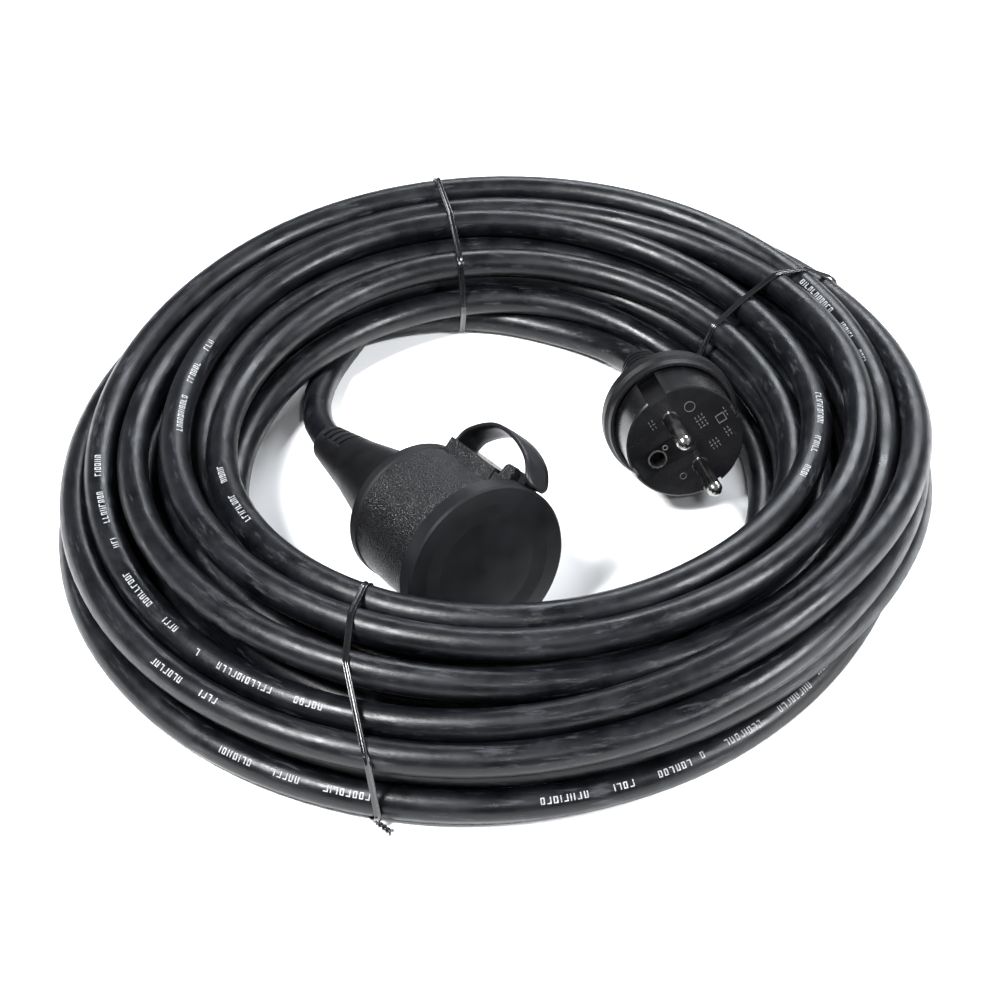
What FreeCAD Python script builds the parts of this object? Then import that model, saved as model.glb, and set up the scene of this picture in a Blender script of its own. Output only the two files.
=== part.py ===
import FreeCAD, Part
import math
import os
import Sketcher

# A ten metre rubber-jacketed extension cord, wound in a loose flat ring and held by three flat
# twist ties. One end is a round moulded coupler with a hinged cap, the other a moulded two-pin plug
# with side earth clips. Both lie inside the ring. Millimetres, +Z up, origin on the floor under the
# middle of the ring.

doc = FreeCAD.newDocument("extension_cord")

# ---------------------------------------------------------------- driving dimensions
DIMENSIONS = {
    # the cord and its ring
    "cord_diameter": 9.5,
    "ring_outer": 134.6,            # mean outer radius of the ring
    "ring_inner": 78.0,             # mean inner radius
    "ring_height": 35.5,
    "ring_flat": 2.6,               # how much of the rounded underside the floor presses flat
    "waist_ratio": 0.88,            # width of the bundle at a tie, against its free width
    "waist_reach": 26.0,            # degrees over which a tie draws the bundle in
    # the ties
    "tie_width": 3.0,
    "tie_thickness": 0.9,
    "tie_slack": 0.05,
    "tie_tail_radius": 1.3,
    "tie_tail_length": 14.0,
    # standard pins and contacts
    "pin_diameter": 4.8,
    "pin_length": 19.0,
    "pin_spacing": 19.0,
    "contact_bore": 5.0,
    # the coupler, along its axis from the cord exit
    "coupler_neck_radius": 6.2,
    "coupler_neck_length": 20.0,
    "coupler_cone_radius": 9.4,
    "coupler_flange_start": 51.3,
    "coupler_flange_radius": 21.9,
    "flange_round": 0.6,
    "coupler_barrel_start": 55.2,
    "coupler_barrel_radius": 21.6,
    "coupler_collar_start": 88.4,
    "coupler_collar_radius": 23.6,
    "coupler_mouth": 90.8,
    "coupler_length": 93.0,
    "edge_round": 0.4,              # the small chamfer on a moulded edge
    "recess_radius": 19.75,
    "recess_depth": 17.5,
    "jacket_depth": 14.0,
    # the cap and its hinge
    "cap_radius": 26.0,
    "cap_skirt_start": 87.8,
    "cap_bore_radius": 24.05,
    "hinge_station": 84.1,
    "hinge_height": 26.6,
    "hinge_pin_radius": 0.9,
    "hinge_lug_width": 5.0,
    "hinge_block_width": 12.0,
    "rail_width": 12.6,
    "rail_height": 25.3,
    "strap_width": 10.0,
    "strap_thickness": 1.2,
    # the plug, along its axis from the cord exit
    "plug_length": 60.0,
    "plug_neck_radius": 6.4,
    "plug_flange_radius": 21.5,
    "nose_radius": 18.5,
    "nose_length": 16.4,
    "earth_offset": 10.0,
    "core_radius": 1.45,
}

# worked out from the others in the sheet itself
DERIVED = {
    "cord_radius_tight": "=cord_diameter / 2 - 0.05",       # bore of a moulding that grips the jacket
    "core_clear_radius": "=core_radius + 0.05",
}
ALIASES = {**DIMENSIONS, **DERIVED}

sheet = doc.addObject("Spreadsheet::Sheet", "dims")
for row, (alias, value) in enumerate(ALIASES.items(), start=1):
    sheet.set("A%d" % row, alias)
    sheet.set("B%d" % row, str(value))
    sheet.setAlias("B%d" % row, alias)
doc.recompute()


def dim(alias):
    """A driving dimension, read from the sheet."""
    return float(sheet.get(alias))


def value_of(expression):
    """The number that an expression of sheet aliases, + and - stands for."""
    terms = str(expression).replace("-", "+-").split("+")
    total = 0.0
    for term in (part.strip() for part in terms):
        if term:
            sign = -1.0 if term.startswith("-") else 1.0
            name = term.lstrip("-").strip()
            total += sign * (dim(name) if name in ALIASES else float(name))
    return total


def bound(expression):
    """The same expression as FreeCAD's own, with each alias read from the sheet."""
    words = str(expression).replace("-", " - ").replace("+", " + ").split()
    return " ".join("dims." + word if word in ALIASES else word for word in words)


def bind(obj, prop, expression):
    """Bind a property to an expression of the sheet's aliases."""
    obj.setExpression(prop, bound(expression))


# ---------------------------------------------------------------- frames
# The coupler's axis runs from its cord exit to its cap, and its local +Z points at the hinge rail.
COUPLER_FACE = FreeCAD.Vector(-5.5, -63.0, 29.25)
COUPLER_TURN = FreeCAD.Rotation(-56.5, -10.8, -47.0)
# The plug's axis runs from its cord exit to its nose, and its local Y is the line of its pins.
PLUG_FACE = FreeCAD.Vector(55.0, -4.0, 27.0)
PLUG_TURN = FreeCAD.Rotation(-79.9, -15.0, -60.7)


def frame_from_face(face, turn, length):
    """The placement whose local X axis ends at the face and starts a length behind it."""
    origin = face - turn.multVec(FreeCAD.Vector(length, 0, 0))
    return FreeCAD.Placement(origin, turn)


COUPLER = frame_from_face(COUPLER_FACE, COUPLER_TURN, dim("coupler_length"))
PLUG = frame_from_face(PLUG_FACE, PLUG_TURN, dim("plug_length"))

SIDES = {-1: "right", 1: "left"}     # the side of a moulding's local Y or Z axis, and its name
ALONG_Y = FreeCAD.Rotation(FreeCAD.Vector(0, 0, 1), 90)

nodes = []


def keep(obj, label, placement=None):
    """Name a finished sub-part, put it in its place and list it for export."""
    obj.Label = label
    if placement is not None:
        obj.Placement = placement
    nodes.append(obj)
    return obj


# ---------------------------------------------------------------- shape helpers
def origin_plane(body, role):
    """One of a body's own origin planes."""
    return next(item for item in body.Origin.OriginFeatures if item.Role == role)


def turned(name, outline):
    """A body turned about its X axis from a closed outline of (station, radius) expressions."""
    body = doc.addObject("PartDesign::Body", name)
    sketch = body.newObject("Sketcher::SketchObject", name + "_outline")
    sketch.AttachmentSupport = [(origin_plane(body, "XZ_Plane"), "")]
    sketch.MapMode = "FlatFace"
    corners = [FreeCAD.Vector(value_of(x), value_of(r), 0) for x, r in outline]
    for start, end in zip(corners, corners[1:] + corners[:1]):
        sketch.addGeometry(Part.LineSegment(start, end), False)
    for index in range(len(outline)):
        following = (index + 1) % len(outline)
        sketch.addConstraint(Sketcher.Constraint("Coincident", index, 2, following, 1))
    for index, (x, r) in enumerate(outline):
        for kind, expression in (("DistanceX", x), ("DistanceY", r)):
            constraint = Sketcher.Constraint(kind, -1, 1, index, 1, value_of(expression))
            number = sketch.addConstraint(constraint)
            sketch.setExpression("Constraints[%d]" % number, bound(expression))
    revolution = body.newObject("PartDesign::Revolution", name + "_turning")
    revolution.Profile = sketch
    revolution.ReferenceAxis = (sketch, ["H_Axis"])
    revolution.Angle = 360
    body.Tip = revolution
    doc.recompute()
    return body


def block(name, low, high):
    """A box between two corners, each an (x, y, z) of expressions."""
    box = doc.addObject("Part::Box", name)
    for prop, axis, start, end in zip(("Length", "Width", "Height"), "xyz", low, high):
        box.setExpression(prop, "(%s) - (%s)" % (bound(end), bound(start)))
        box.setExpression("Placement.Base." + axis, bound(start))
    return box


AXIS_TURNS = {
    "x": FreeCAD.Rotation(FreeCAD.Vector(0, 1, 0), 90),
    "y": FreeCAD.Rotation(FreeCAD.Vector(1, 0, 0), -90),
    "z": FreeCAD.Rotation(),
}


def rod(name, axis, start, radius, length):
    """A cylinder along a local axis, from a start point of expressions."""
    cylinder = doc.addObject("Part::Cylinder", name)
    cylinder.Placement = FreeCAD.Placement(FreeCAD.Vector(), AXIS_TURNS[axis])
    bind(cylinder, "Radius", radius)
    bind(cylinder, "Height", length)
    for letter, expression in zip("xyz", start):
        bind(cylinder, "Placement.Base." + letter, expression)
    return cylinder


def cut(name, base, tools):
    """The base with the tools cut out of it. The cut has to take something away."""
    if len(tools) == 1:
        tool = tools[0]
    else:
        tool = doc.addObject("Part::MultiFuse", name + "_tools")
        tool.Shapes = tools
    result = doc.addObject("Part::Cut", name)
    result.Base = base
    result.Tool = tool
    doc.recompute()
    if result.Shape.Volume > base.Shape.Volume - 0.1:
        raise ValueError(name + " cuts nothing")
    return result


def fuse(name, shapes):
    """Several shapes made one."""
    result = doc.addObject("Part::MultiFuse", name)
    result.Shapes = shapes
    doc.recompute()
    return result


def feature(name, shape):
    """A sub-part whose shape comes straight from Part's functions."""
    result = doc.addObject("Part::Feature", name)
    result.Shape = shape
    return result


def bend(before, corner, after):
    """The largest tangent arc that a corner's two runs allow: its start, middle, end and radius."""
    arriving = before - corner
    leaving = after - corner
    shorter = min(arriving.Length, leaving.Length)
    turn = math.pi - arriving.getAngle(leaving)
    setback = 0.45 * shorter
    radius = setback / math.tan(turn / 2)
    arriving.normalize()
    leaving.normalize()
    middle_way = arriving + leaving
    middle_way.normalize()
    reach = radius / math.cos(turn / 2) - radius
    return (corner + arriving * setback, corner + middle_way * reach, corner + leaving * setback, radius)


def tube(points, radius, label):
    """A round tube along straight runs joined by tangent arcs. It prints the arcs' radii."""
    edges = []
    radii = []
    here = points[0]
    for before, corner, after in zip(points, points[1:], points[2:]):
        start, middle, end, bend_radius = bend(before, corner, after)
        edges.append(Part.LineSegment(here, start).toShape())
        edges.append(Part.Arc(start, middle, end).toShape())
        radii.append(round(bend_radius, 1))
        here = end
    edges.append(Part.LineSegment(here, points[-1]).toShape())
    path = Part.Wire(edges)
    direction = points[1] - points[0]
    section = Part.Wire([Part.Circle(points[0], direction, radius).toShape()])
    solid = path.makePipeShell([section], True, True)
    expected = math.pi * radius ** 2 * path.Length
    print(label, "bend radii", radii, "length", round(path.Length, 1),
          "volume against section x length", round(solid.Volume / expected, 4))
    return solid


# ---------------------------------------------------------------- the ring of cord
TIE_ANGLES = {"tie_front": 249.0, "tie_back_left": 101.0, "tie_back_right": 38.0}
SECTION_SIDES = 20
SECTION_FULLNESS = 0.78             # below 1 the bundle's section is fuller than an ellipse
# The loose turns aren't round: each wave adds its height, so many times round, with a crest at its angle.
OUTER_WAVES = [(1.2, 1, 234.0), (7.4, 2, 45.0), (2.0, 3, 105.0), (1.9, 4, 15.0)]
INNER_WAVES = [(3.2, 2, 90.0)]
STATION_STEP = 14.0                 # degrees between the ring's sections
TIE_HALF_STEP = 1.3                 # the section stays the same this far each side of a tie


def wavy(radius, waves, angle):
    """A mean radius with its waves added, at one angle."""
    return radius + sum(height * math.cos(math.radians(times * (angle - crest))) for height, times, crest in waves)


def waist(angle):
    """How far a tie draws the bundle in here, from 0 to 1."""
    reach = dim("waist_reach")
    away = min(abs((angle - tie + 180.0) % 360.0 - 180.0) for tie in TIE_ANGLES.values())
    away = max(away - TIE_HALF_STEP, 0.0)
    return 0.5 + 0.5 * math.cos(math.pi * away / reach) if away < reach else 0.0


def ring_section(angle, grow=0.0):
    """The corners of the bundle's outline at one angle, grown outward evenly."""
    turn = math.radians(angle)
    outer = wavy(dim("ring_outer"), OUTER_WAVES, angle)
    inner = wavy(dim("ring_inner"), INNER_WAVES, angle)
    draw = waist(angle)
    width = (outer - inner) * (1 - draw * (1 - dim("waist_ratio"))) / 2 + grow
    middle = (outer + inner) / 2
    lift = draw * (dim("tie_thickness") + 2 * dim("tie_slack")) - (1 - draw) * dim("ring_flat")
    height = dim("ring_height")
    corners = []
    for side in range(SECTION_SIDES):
        around = 2 * math.pi * (side + 0.5) / SECTION_SIDES
        across = math.copysign(abs(math.cos(around)) ** SECTION_FULLNESS, math.cos(around))
        upward = math.copysign(abs(math.sin(around)) ** SECTION_FULLNESS, math.sin(around))
        radius = middle + width * across
        level = height / 2 + (height / 2 + dim("ring_flat")) * upward
        level = max(min(level, height + grow), lift - grow)
        corners.append(FreeCAD.Vector(radius * math.cos(turn), radius * math.sin(turn), level))
    return corners


def closed_wire(corners):
    """A closed wire through the corners."""
    return Part.makePolygon(corners + [corners[0]])


def ring_angles():
    """The ring's stations: two at each tie, and even steps between the ties."""
    ties = sorted(TIE_ANGLES.values())
    angles = []
    for tie, following in zip(ties, ties[1:] + [ties[0] + 360.0]):
        start = tie + TIE_HALF_STEP
        end = following - TIE_HALF_STEP
        steps = round((end - start) / STATION_STEP)
        angles += [start + (end - start) * step / steps for step in range(steps + 1)]
    return angles


def make_ring():
    """The outer shape of all the turns together, as one closed ring. The floor presses its underside flat."""
    wires = [closed_wire(ring_section(angle)) for angle in ring_angles()]
    bundle = feature("bundle", Part.makeLoft(wires, True, True, True))
    reach = 2 * dim("ring_outer")
    floor = block("floor", (-reach, -reach, -reach), (reach, reach, 0))
    ring = keep(cut("cord_coil", bundle, [floor]), "cord_coil")
    print("ring volume", round(ring.Shape.Volume), "valid", ring.Shape.isValid())


TIE_TAIL_SINK = 0.6                 # how far a twisted tail is sunk into its band


def make_tie(label, angle):
    """A flat band round the bundle, with its two ends twisted into a short tail outside."""
    turn = math.radians(angle)
    along = FreeCAD.Vector(-math.sin(turn), math.cos(turn), 0)
    outward = FreeCAD.Vector(math.cos(turn), math.sin(turn), 0)
    slack = dim("tie_slack")
    outer = Part.Face(closed_wire(ring_section(angle, slack + dim("tie_thickness"))))
    inner = Part.Face(closed_wire(ring_section(angle, slack)))
    back_step = along * (-dim("tie_width") / 2)
    flat_ring = outer.cut(inner)
    flat_ring.translate(back_step)
    band = flat_ring.extrude(along * dim("tie_width"))
    edge = max(ring_section(angle, slack + dim("tie_thickness")), key=lambda corner: corner.dot(outward))
    foot = edge + outward * (dim("tie_tail_radius") - TIE_TAIL_SINK) - along * (dim("tie_width") / 2)
    tail = Part.makeCylinder(dim("tie_tail_radius"), dim("tie_tail_length"), foot, along)
    keep(feature(label, band.fuse(tail)), label)


# ---------------------------------------------------------------- the uncoiled stretches
# Each starts inside its moulding, leaves straight and runs down to the floor and under the ring.
COUPLER_TAIL = [
    FreeCAD.Vector(-48.3, 1.7, 14.45),
    FreeCAD.Vector(-58.0, 16.4, 11.1),
    FreeCAD.Vector(-62.7, 34.7, 7.6),
    FreeCAD.Vector(-61.4, 53.5, 5.6),
    FreeCAD.Vector(-55.2, 71.1, 4.85),
]
PLUG_TAIL = [
    FreeCAD.Vector(47.2, 39.8, 15.1),
    FreeCAD.Vector(44.15, 56.85, 10.45),
    FreeCAD.Vector(36.2, 73.2, 7.2),
    FreeCAD.Vector(23.6, 86.0, 5.2),
]


def make_tail(label, points):
    """The cord between a moulding and the ring."""
    keep(feature(label, tube(points, dim("cord_diameter") / 2, label)), label)


# ---------------------------------------------------------------- the coupler
FIT_GAP = 0.05                      # clearance between two pieces that are assembled once
CONE_SHOULDERS = [(9.0, 14.2), (2.0, 19.6)]         # distance behind the flange, and radius
CORE_CAVITY = [(44.0, 12.2), (34.0, 8.6)]           # station and radius of the room for the cores
CAVITY_MOUTH_RADIUS = 15.0
CAVITY_FOOT_RADIUS = 5.9
BARREL_BORE_STEP = 57.0             # the web behind the contact carrier ends here
SPIGOT_START = 52.0
SPIGOT_RADIUS = 19.0
SPIGOT_BORE = 17.0
CARRIER_RADIUS = 19.7
CONTACT_POCKET = 3.6                # radius of the pocket that holds a contact
ENTRY_DEPTH = 3.0                   # length of a contact hole's narrow entry
EARTH_OUT = 19.1                    # outer face of the earth clips, from the axis
EARTH_THICKNESS = 0.8
EARTH_HALF_WIDTH = 2.0
EARTH_CLIP_END = 85.0
EARTH_SLOT_GAP = 0.2                # room round an earth clip in its slot
EARTH_CHANNEL_DEPTH = 1.6
GUIDE_HALF_WIDTH = 2.3
GUIDE_HEIGHT = 1.3
GUIDE_SINK = 0.6                    # how far a guide rib runs into the barrel's wall
GUIDE_SETBACK = 4.0                 # the ribs end this far inside the mouth

SLOT_COUNT = 4
SLOT_START = 2.6
SLOT_PITCH = 3.6
SLOT_WIDTH = 1.4
SLOT_DEPTH = 1.5
SLOT_TURN = 40.0                    # degrees about the axis, from straight up and down
SLOT_HALF_LENGTH = 8.0
SLOT_REACH = 12.0                   # past the neck's surface everywhere
BEYOND = 1.0                        # how far a cutting tool runs past the face it cuts


def slot_floor(station):
    """How far from the axis a strain-relief slot's floor lies."""
    slope = (dim("coupler_cone_radius") - dim("coupler_neck_radius")) / dim("coupler_neck_length")
    return round(dim("coupler_neck_radius") + slope * station - SLOT_DEPTH, 2)


def make_coupler_moulding():
    """Neck, cone and flange in one rubber moulding, bored for the jacket and hollow for the cores."""
    outline = [
        (0, "cord_radius_tight"),
        (0, "coupler_neck_radius"),
        ("coupler_neck_length", "coupler_cone_radius"),
    ]
    outline += [("coupler_flange_start - %s" % behind, radius) for behind, radius in CONE_SHOULDERS]
    outline += [
        ("coupler_flange_start", "coupler_flange_radius - flange_round"),
        ("coupler_flange_start + flange_round", "coupler_flange_radius"),
        ("coupler_barrel_start - flange_round", "coupler_flange_radius"),
        ("coupler_barrel_start", "coupler_flange_radius - flange_round"),
        ("coupler_barrel_start", SPIGOT_RADIUS + FIT_GAP),
        (SPIGOT_START - FIT_GAP, SPIGOT_RADIUS + FIT_GAP),
        (SPIGOT_START - FIT_GAP, CAVITY_MOUTH_RADIUS),
    ]
    outline += CORE_CAVITY
    outline += [
        ("jacket_depth", CAVITY_FOOT_RADIUS),
        ("jacket_depth", "cord_radius_tight"),
    ]
    body = turned("coupler_moulding_body", outline)
    slots = []
    for index in range(SLOT_COUNT):
        start = SLOT_START + index * SLOT_PITCH
        floor = slot_floor(start)
        end = start + SLOT_WIDTH
        for name, low, high in (("top", floor, SLOT_REACH), ("low", -SLOT_REACH, -floor)):
            slots.append(block("slot_%s_%d" % (name, index), (start, -SLOT_HALF_LENGTH, low),
                               (end, SLOT_HALF_LENGTH, high)))
    turned_slots = doc.addObject("Part::Compound", "neck_slots")
    turned_slots.Links = slots
    turned_slots.Placement = FreeCAD.Placement(FreeCAD.Vector(), FreeCAD.Rotation(FreeCAD.Vector(1, 0, 0), SLOT_TURN))
    keep(cut("coupler_moulding", body, [turned_slots]), "coupler_moulding", COUPLER)


def make_coupler_barrel():
    """The textured barrel: a tube with a spigot behind, a sealing collar in front and two guide ribs."""
    outline = [
        (SPIGOT_START, SPIGOT_BORE),
        (SPIGOT_START, SPIGOT_RADIUS),
        ("coupler_barrel_start", SPIGOT_RADIUS),
        ("coupler_barrel_start", "coupler_barrel_radius - edge_round"),
        ("coupler_barrel_start + edge_round", "coupler_barrel_radius"),
        ("coupler_collar_start", "coupler_barrel_radius"),
        ("coupler_collar_start", "coupler_collar_radius - edge_round"),
        ("coupler_collar_start + edge_round", "coupler_collar_radius"),
        ("coupler_mouth - edge_round", "coupler_collar_radius"),
        ("coupler_mouth", "coupler_collar_radius - edge_round"),
        ("coupler_mouth", "recess_radius + edge_round"),
        ("coupler_mouth - edge_round", "recess_radius"),
        (BARREL_BORE_STEP, "recess_radius"),
        (BARREL_BORE_STEP, SPIGOT_BORE),
    ]
    body = turned("coupler_barrel_body", outline)
    floor = "coupler_mouth - recess_depth"
    ribs = []
    for name, side in (("left", 1), ("right", -1)):
        start, end = sorted((side * (dim("recess_radius") - GUIDE_HEIGHT), side * (dim("recess_radius") + GUIDE_SINK)))
        ribs.append(block("guide_rib_" + name, (floor, start, -GUIDE_HALF_WIDTH),
                          ("coupler_mouth - %s" % GUIDE_SETBACK, end, GUIDE_HALF_WIDTH)))
    keep(fuse("coupler_barrel", [body] + ribs), "coupler_barrel", COUPLER)


def make_contact_carrier():
    """The insulating disc behind the recess, with two stepped contact holes and an earth channel."""
    front = "coupler_mouth - recess_depth"
    outline = [
        (BARREL_BORE_STEP + FIT_GAP, 0),
        (BARREL_BORE_STEP + FIT_GAP, CARRIER_RADIUS),
        (front, CARRIER_RADIUS),
        (front, 0),
    ]
    body = turned("contact_carrier_body", outline)
    back = BARREL_BORE_STEP - BEYOND
    through = value_of(front) + BEYOND
    past_edge = CARRIER_RADIUS + BEYOND
    half_slot = EARTH_HALF_WIDTH + EARTH_SLOT_GAP
    leg_inside = EARTH_OUT - EARTH_THICKNESS - EARTH_SLOT_GAP
    tools = []
    for side in SIDES:
        across = side * dim("pin_spacing") / 2
        tools.append(rod("entry_" + SIDES[side], "x", (back, across, 0), dim("contact_bore") / 2, through - back))
        tools.append(rod("pocket_" + SIDES[side], "x", (back, across, 0), CONTACT_POCKET,
                         value_of(front) - ENTRY_DEPTH - back))
        leg_low, leg_high = sorted((side * leg_inside, side * past_edge))
        tools.append(block("leg_slot_" + SIDES[side], (back, -half_slot, leg_low), (through, half_slot, leg_high)))
    tools.append(block("earth_channel", (back, -half_slot, -past_edge),
                       (BARREL_BORE_STEP + EARTH_CHANNEL_DEPTH, half_slot, past_edge)))
    keep(cut("contact_carrier", body, tools), "contact_carrier", COUPLER)


CRIMP_START = 46.0
CRIMP_RADIUS = 2.2
CRIMP_DEPTH = 8.0                   # how far a core's hole runs into its crimp
CRIMP_SINK = 0.5                    # how far a crimp runs into the piece it is joined to
SLEEVE_START = 57.4
SLEEVE_FLOOR = 1.0                  # thickness of metal behind a sleeve's bore
SLEEVE_SETBACK = 0.2                # the sleeve ends this far behind its entry hole


def make_line_contact(label, side):
    """A sprung brass sleeve for one pin, with the crimp for its core behind it."""
    across = side * dim("pin_spacing") / 2
    sleeve_end = dim("coupler_mouth") - dim("recess_depth") - ENTRY_DEPTH - SLEEVE_SETBACK
    sleeve = rod(label + "_sleeve", "x", (SLEEVE_START, across, 0), CONTACT_POCKET - FIT_GAP,
                 sleeve_end - SLEEVE_START)
    crimp = rod(label + "_crimp", "x", (CRIMP_START, across, 0), CRIMP_RADIUS,
                SLEEVE_START - CRIMP_START + CRIMP_SINK)
    bore = rod(label + "_bore", "x", (SLEEVE_START + SLEEVE_FLOOR, across, 0), dim("contact_bore") / 2,
               sleeve_end - SLEEVE_START)
    core_hole = rod(label + "_core_hole", "x", (CRIMP_START - BEYOND, across, 0), "core_clear_radius",
                    CRIMP_DEPTH + BEYOND)
    solid = fuse(label + "_solid", [sleeve, crimp])
    keep(cut(label, solid, [bore, core_hole]), label, COUPLER)


def make_earth_contact():
    """The coupler's earth contact: a bridge behind the carrier, a clip on each side and a crimp."""
    low_x = BARREL_BORE_STEP + EARTH_SLOT_GAP
    parts = [block("earth_bridge", (low_x, -EARTH_HALF_WIDTH, -EARTH_OUT),
                   (low_x + EARTH_THICKNESS, EARTH_HALF_WIDTH, EARTH_OUT))]
    for side in SIDES:
        low, high = sorted((side * (EARTH_OUT - EARTH_THICKNESS), side * EARTH_OUT))
        parts.append(block("earth_leg_" + SIDES[side], (low_x, -EARTH_HALF_WIDTH, low),
                           (EARTH_CLIP_END, EARTH_HALF_WIDTH, high)))
    parts.append(rod("earth_crimp", "x", (CRIMP_START, 0, 0), CRIMP_RADIUS, low_x - CRIMP_START + CRIMP_SINK))
    solid = fuse("earth_contact_solid", parts)
    hole = rod("earth_core_hole", "x", (CRIMP_START - BEYOND, 0, 0), "core_clear_radius", CRIMP_DEPTH + BEYOND)
    keep(cut("coupler_earth_contact", solid, [hole]), "coupler_earth_contact", COUPLER)


CORE_LAY_RADIUS = 1.75              # the three cores lie this far from the cord's axis
CORE_LAY_ANGLES = {"brown": 30.0, "blue": 150.0, "earth": 270.0}
CORE_INSERTION = 3.0                # how far a core runs into its crimp
COUPLER_SPREAD = (20.0, 42.5)       # the stations between which the cores spread apart
PLUG_SPREAD = (18.5, 27.0)


def make_cores(prefix, placement, spread, crimp_at):
    """Three insulated cores: together as far as the spread's start, and in line with their crimps at its end."""
    offset = dim("pin_spacing") / 2
    for colour, across in (("brown", offset), ("blue", -offset), ("earth", 0.0)):
        lay = math.radians(CORE_LAY_ANGLES[colour])
        start_y = CORE_LAY_RADIUS * math.cos(lay)
        start_z = CORE_LAY_RADIUS * math.sin(lay)
        points = [
            FreeCAD.Vector(dim("jacket_depth") + 2 * FIT_GAP, start_y, start_z),
            FreeCAD.Vector(spread[0], start_y, start_z),
            FreeCAD.Vector(spread[1], across, 0),
            FreeCAD.Vector(crimp_at + CORE_INSERTION, across, 0),
        ]
        label = prefix + "_core_" + colour
        keep(feature(label, tube(points, dim("core_radius"), label)), label, placement)


RAIL_END = 79.4
BLOCK_START = 79.6
BLOCK_END = 86.6
RAIL_FOOT = 18.0                    # below the barrel's surface under the whole width of the rail
EAR_FOOT = 22.0
EAR_RADIUS = 2.2
EAR_GAP = 0.3                       # room each side of the cap's lug
ALL_ALONG = 100.0                   # longer than the coupler


def barrel_seat(name):
    """The barrel's surface as a cutter, for the pieces that sit on it."""
    return rod(name, "x", (0, 0, 0), "coupler_barrel_radius", ALL_ALONG)


def make_hinge():
    """The hinge rail on the barrel, the hinge block in front of it and the hinge pin."""
    half = dim("rail_width") / 2
    rail = block("rail_bar", ("coupler_barrel_start + edge_round", -half, RAIL_FOOT), (RAIL_END, half, "rail_height"))
    keep(cut("hinge_rail", rail, [barrel_seat("rail_seat")]), "hinge_rail", COUPLER)

    half = dim("hinge_block_width") / 2
    gap = dim("hinge_lug_width") / 2 + EAR_GAP
    base_top = dim("hinge_height") - EAR_RADIUS
    base = block("hinge_base", (BLOCK_START, -half, RAIL_FOOT), (BLOCK_END, half, base_top))
    ears = []
    for side in SIDES:
        start, end = sorted((side * gap, side * half))
        ears.append(block("ear_foot_" + SIDES[side], (dim("hinge_station") - EAR_RADIUS, start, EAR_FOOT),
                          (dim("hinge_station") + EAR_RADIUS, end, "hinge_height")))
        ears.append(rod("ear_" + SIDES[side], "y", ("hinge_station", start, "hinge_height"), EAR_RADIUS, end - start))
    solid = fuse("hinge_block_solid", [base] + ears)
    pin_hole = rod("block_pin_hole", "y", ("hinge_station", -half - BEYOND, "hinge_height"), "hinge_pin_radius",
                   2 * (half + BEYOND))
    keep(cut("hinge_block", solid, [barrel_seat("block_seat"), pin_hole]), "hinge_block", COUPLER)

    pin = turned("hinge_pin_body", [(0, 0), (0, "hinge_pin_radius"), (2 * half, "hinge_pin_radius"), (2 * half, 0)])
    foot = FreeCAD.Vector(dim("hinge_station"), -half, dim("hinge_height"))
    keep(pin, "hinge_pin", COUPLER.multiply(FreeCAD.Placement(foot, ALONG_Y)))


CAP_FLOOR = 91.1                    # the cap's inner face
SEAL_START = 88.6
SEAL_INNER = 15.6
SEAL_OUTER = 17.6
DISH_DEPTH = 0.3
DISH_RADIUS = 15.6
DISH_EDGE = 20.4
RIM_ROUND = 0.6
LUG_HALF_HEIGHT = 1.5
LUG_END = 89.4
LUG_EYE_RADIUS = 1.9
LUG_RUNNING_GAP = 0.07


def make_cap():
    """The cap: a shallow cup with a sealing ring inside, a dished face and its hinge lug."""
    outline = [
        (CAP_FLOOR, 0),
        (dim("coupler_length") - DISH_DEPTH, 0),
        (dim("coupler_length") - DISH_DEPTH, DISH_RADIUS),
        ("coupler_length", DISH_EDGE),
        ("coupler_length", dim("cap_radius") - RIM_ROUND),
        (dim("coupler_length") - RIM_ROUND, "cap_radius"),
        ("cap_skirt_start", "cap_radius"),
        ("cap_skirt_start", "cap_bore_radius"),
        (CAP_FLOOR, "cap_bore_radius"),
        (CAP_FLOOR, SEAL_OUTER),
        (SEAL_START, SEAL_OUTER),
        (SEAL_START, SEAL_INNER),
        (CAP_FLOOR, SEAL_INNER),
    ]
    cup = turned("cap_cup", outline)
    half = dim("hinge_lug_width") / 2
    arm = block("cap_lug_arm", ("hinge_station", -half, dim("hinge_height") - LUG_HALF_HEIGHT),
                (LUG_END, half, dim("hinge_height") + LUG_HALF_HEIGHT))
    eye = rod("cap_lug_eye", "y", ("hinge_station", -half, "hinge_height"), LUG_EYE_RADIUS, 2 * half)
    inside = rod("cap_clear_bore", "x", (0, 0, 0), "cap_bore_radius", CAP_FLOOR)
    pin_hole = rod("cap_pin_hole", "y", ("hinge_station", -half - BEYOND, "hinge_height"),
                   dim("hinge_pin_radius") + LUG_RUNNING_GAP, 2 * (half + BEYOND))
    lug = cut("cap_lug", fuse("cap_lug_solid", [arm, eye]), [inside, pin_hole])
    keep(fuse("cap", [cup, lug]), "cap", COUPLER)


# The strap's centre line over the hinge, as (station, height) from the coupler's axis.
STRAP_LINE = [(56.8, 26.1), (59.2, 30.4), (66.5, 35.2), (76.5, 35.6), (86.0, 32.6), (92.2, 26.7)]
STRAP_STEPS = 24
STRAP_FOOT_LENGTH = 3.0
STRAP_FOOT_HEIGHT = 1.6


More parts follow.
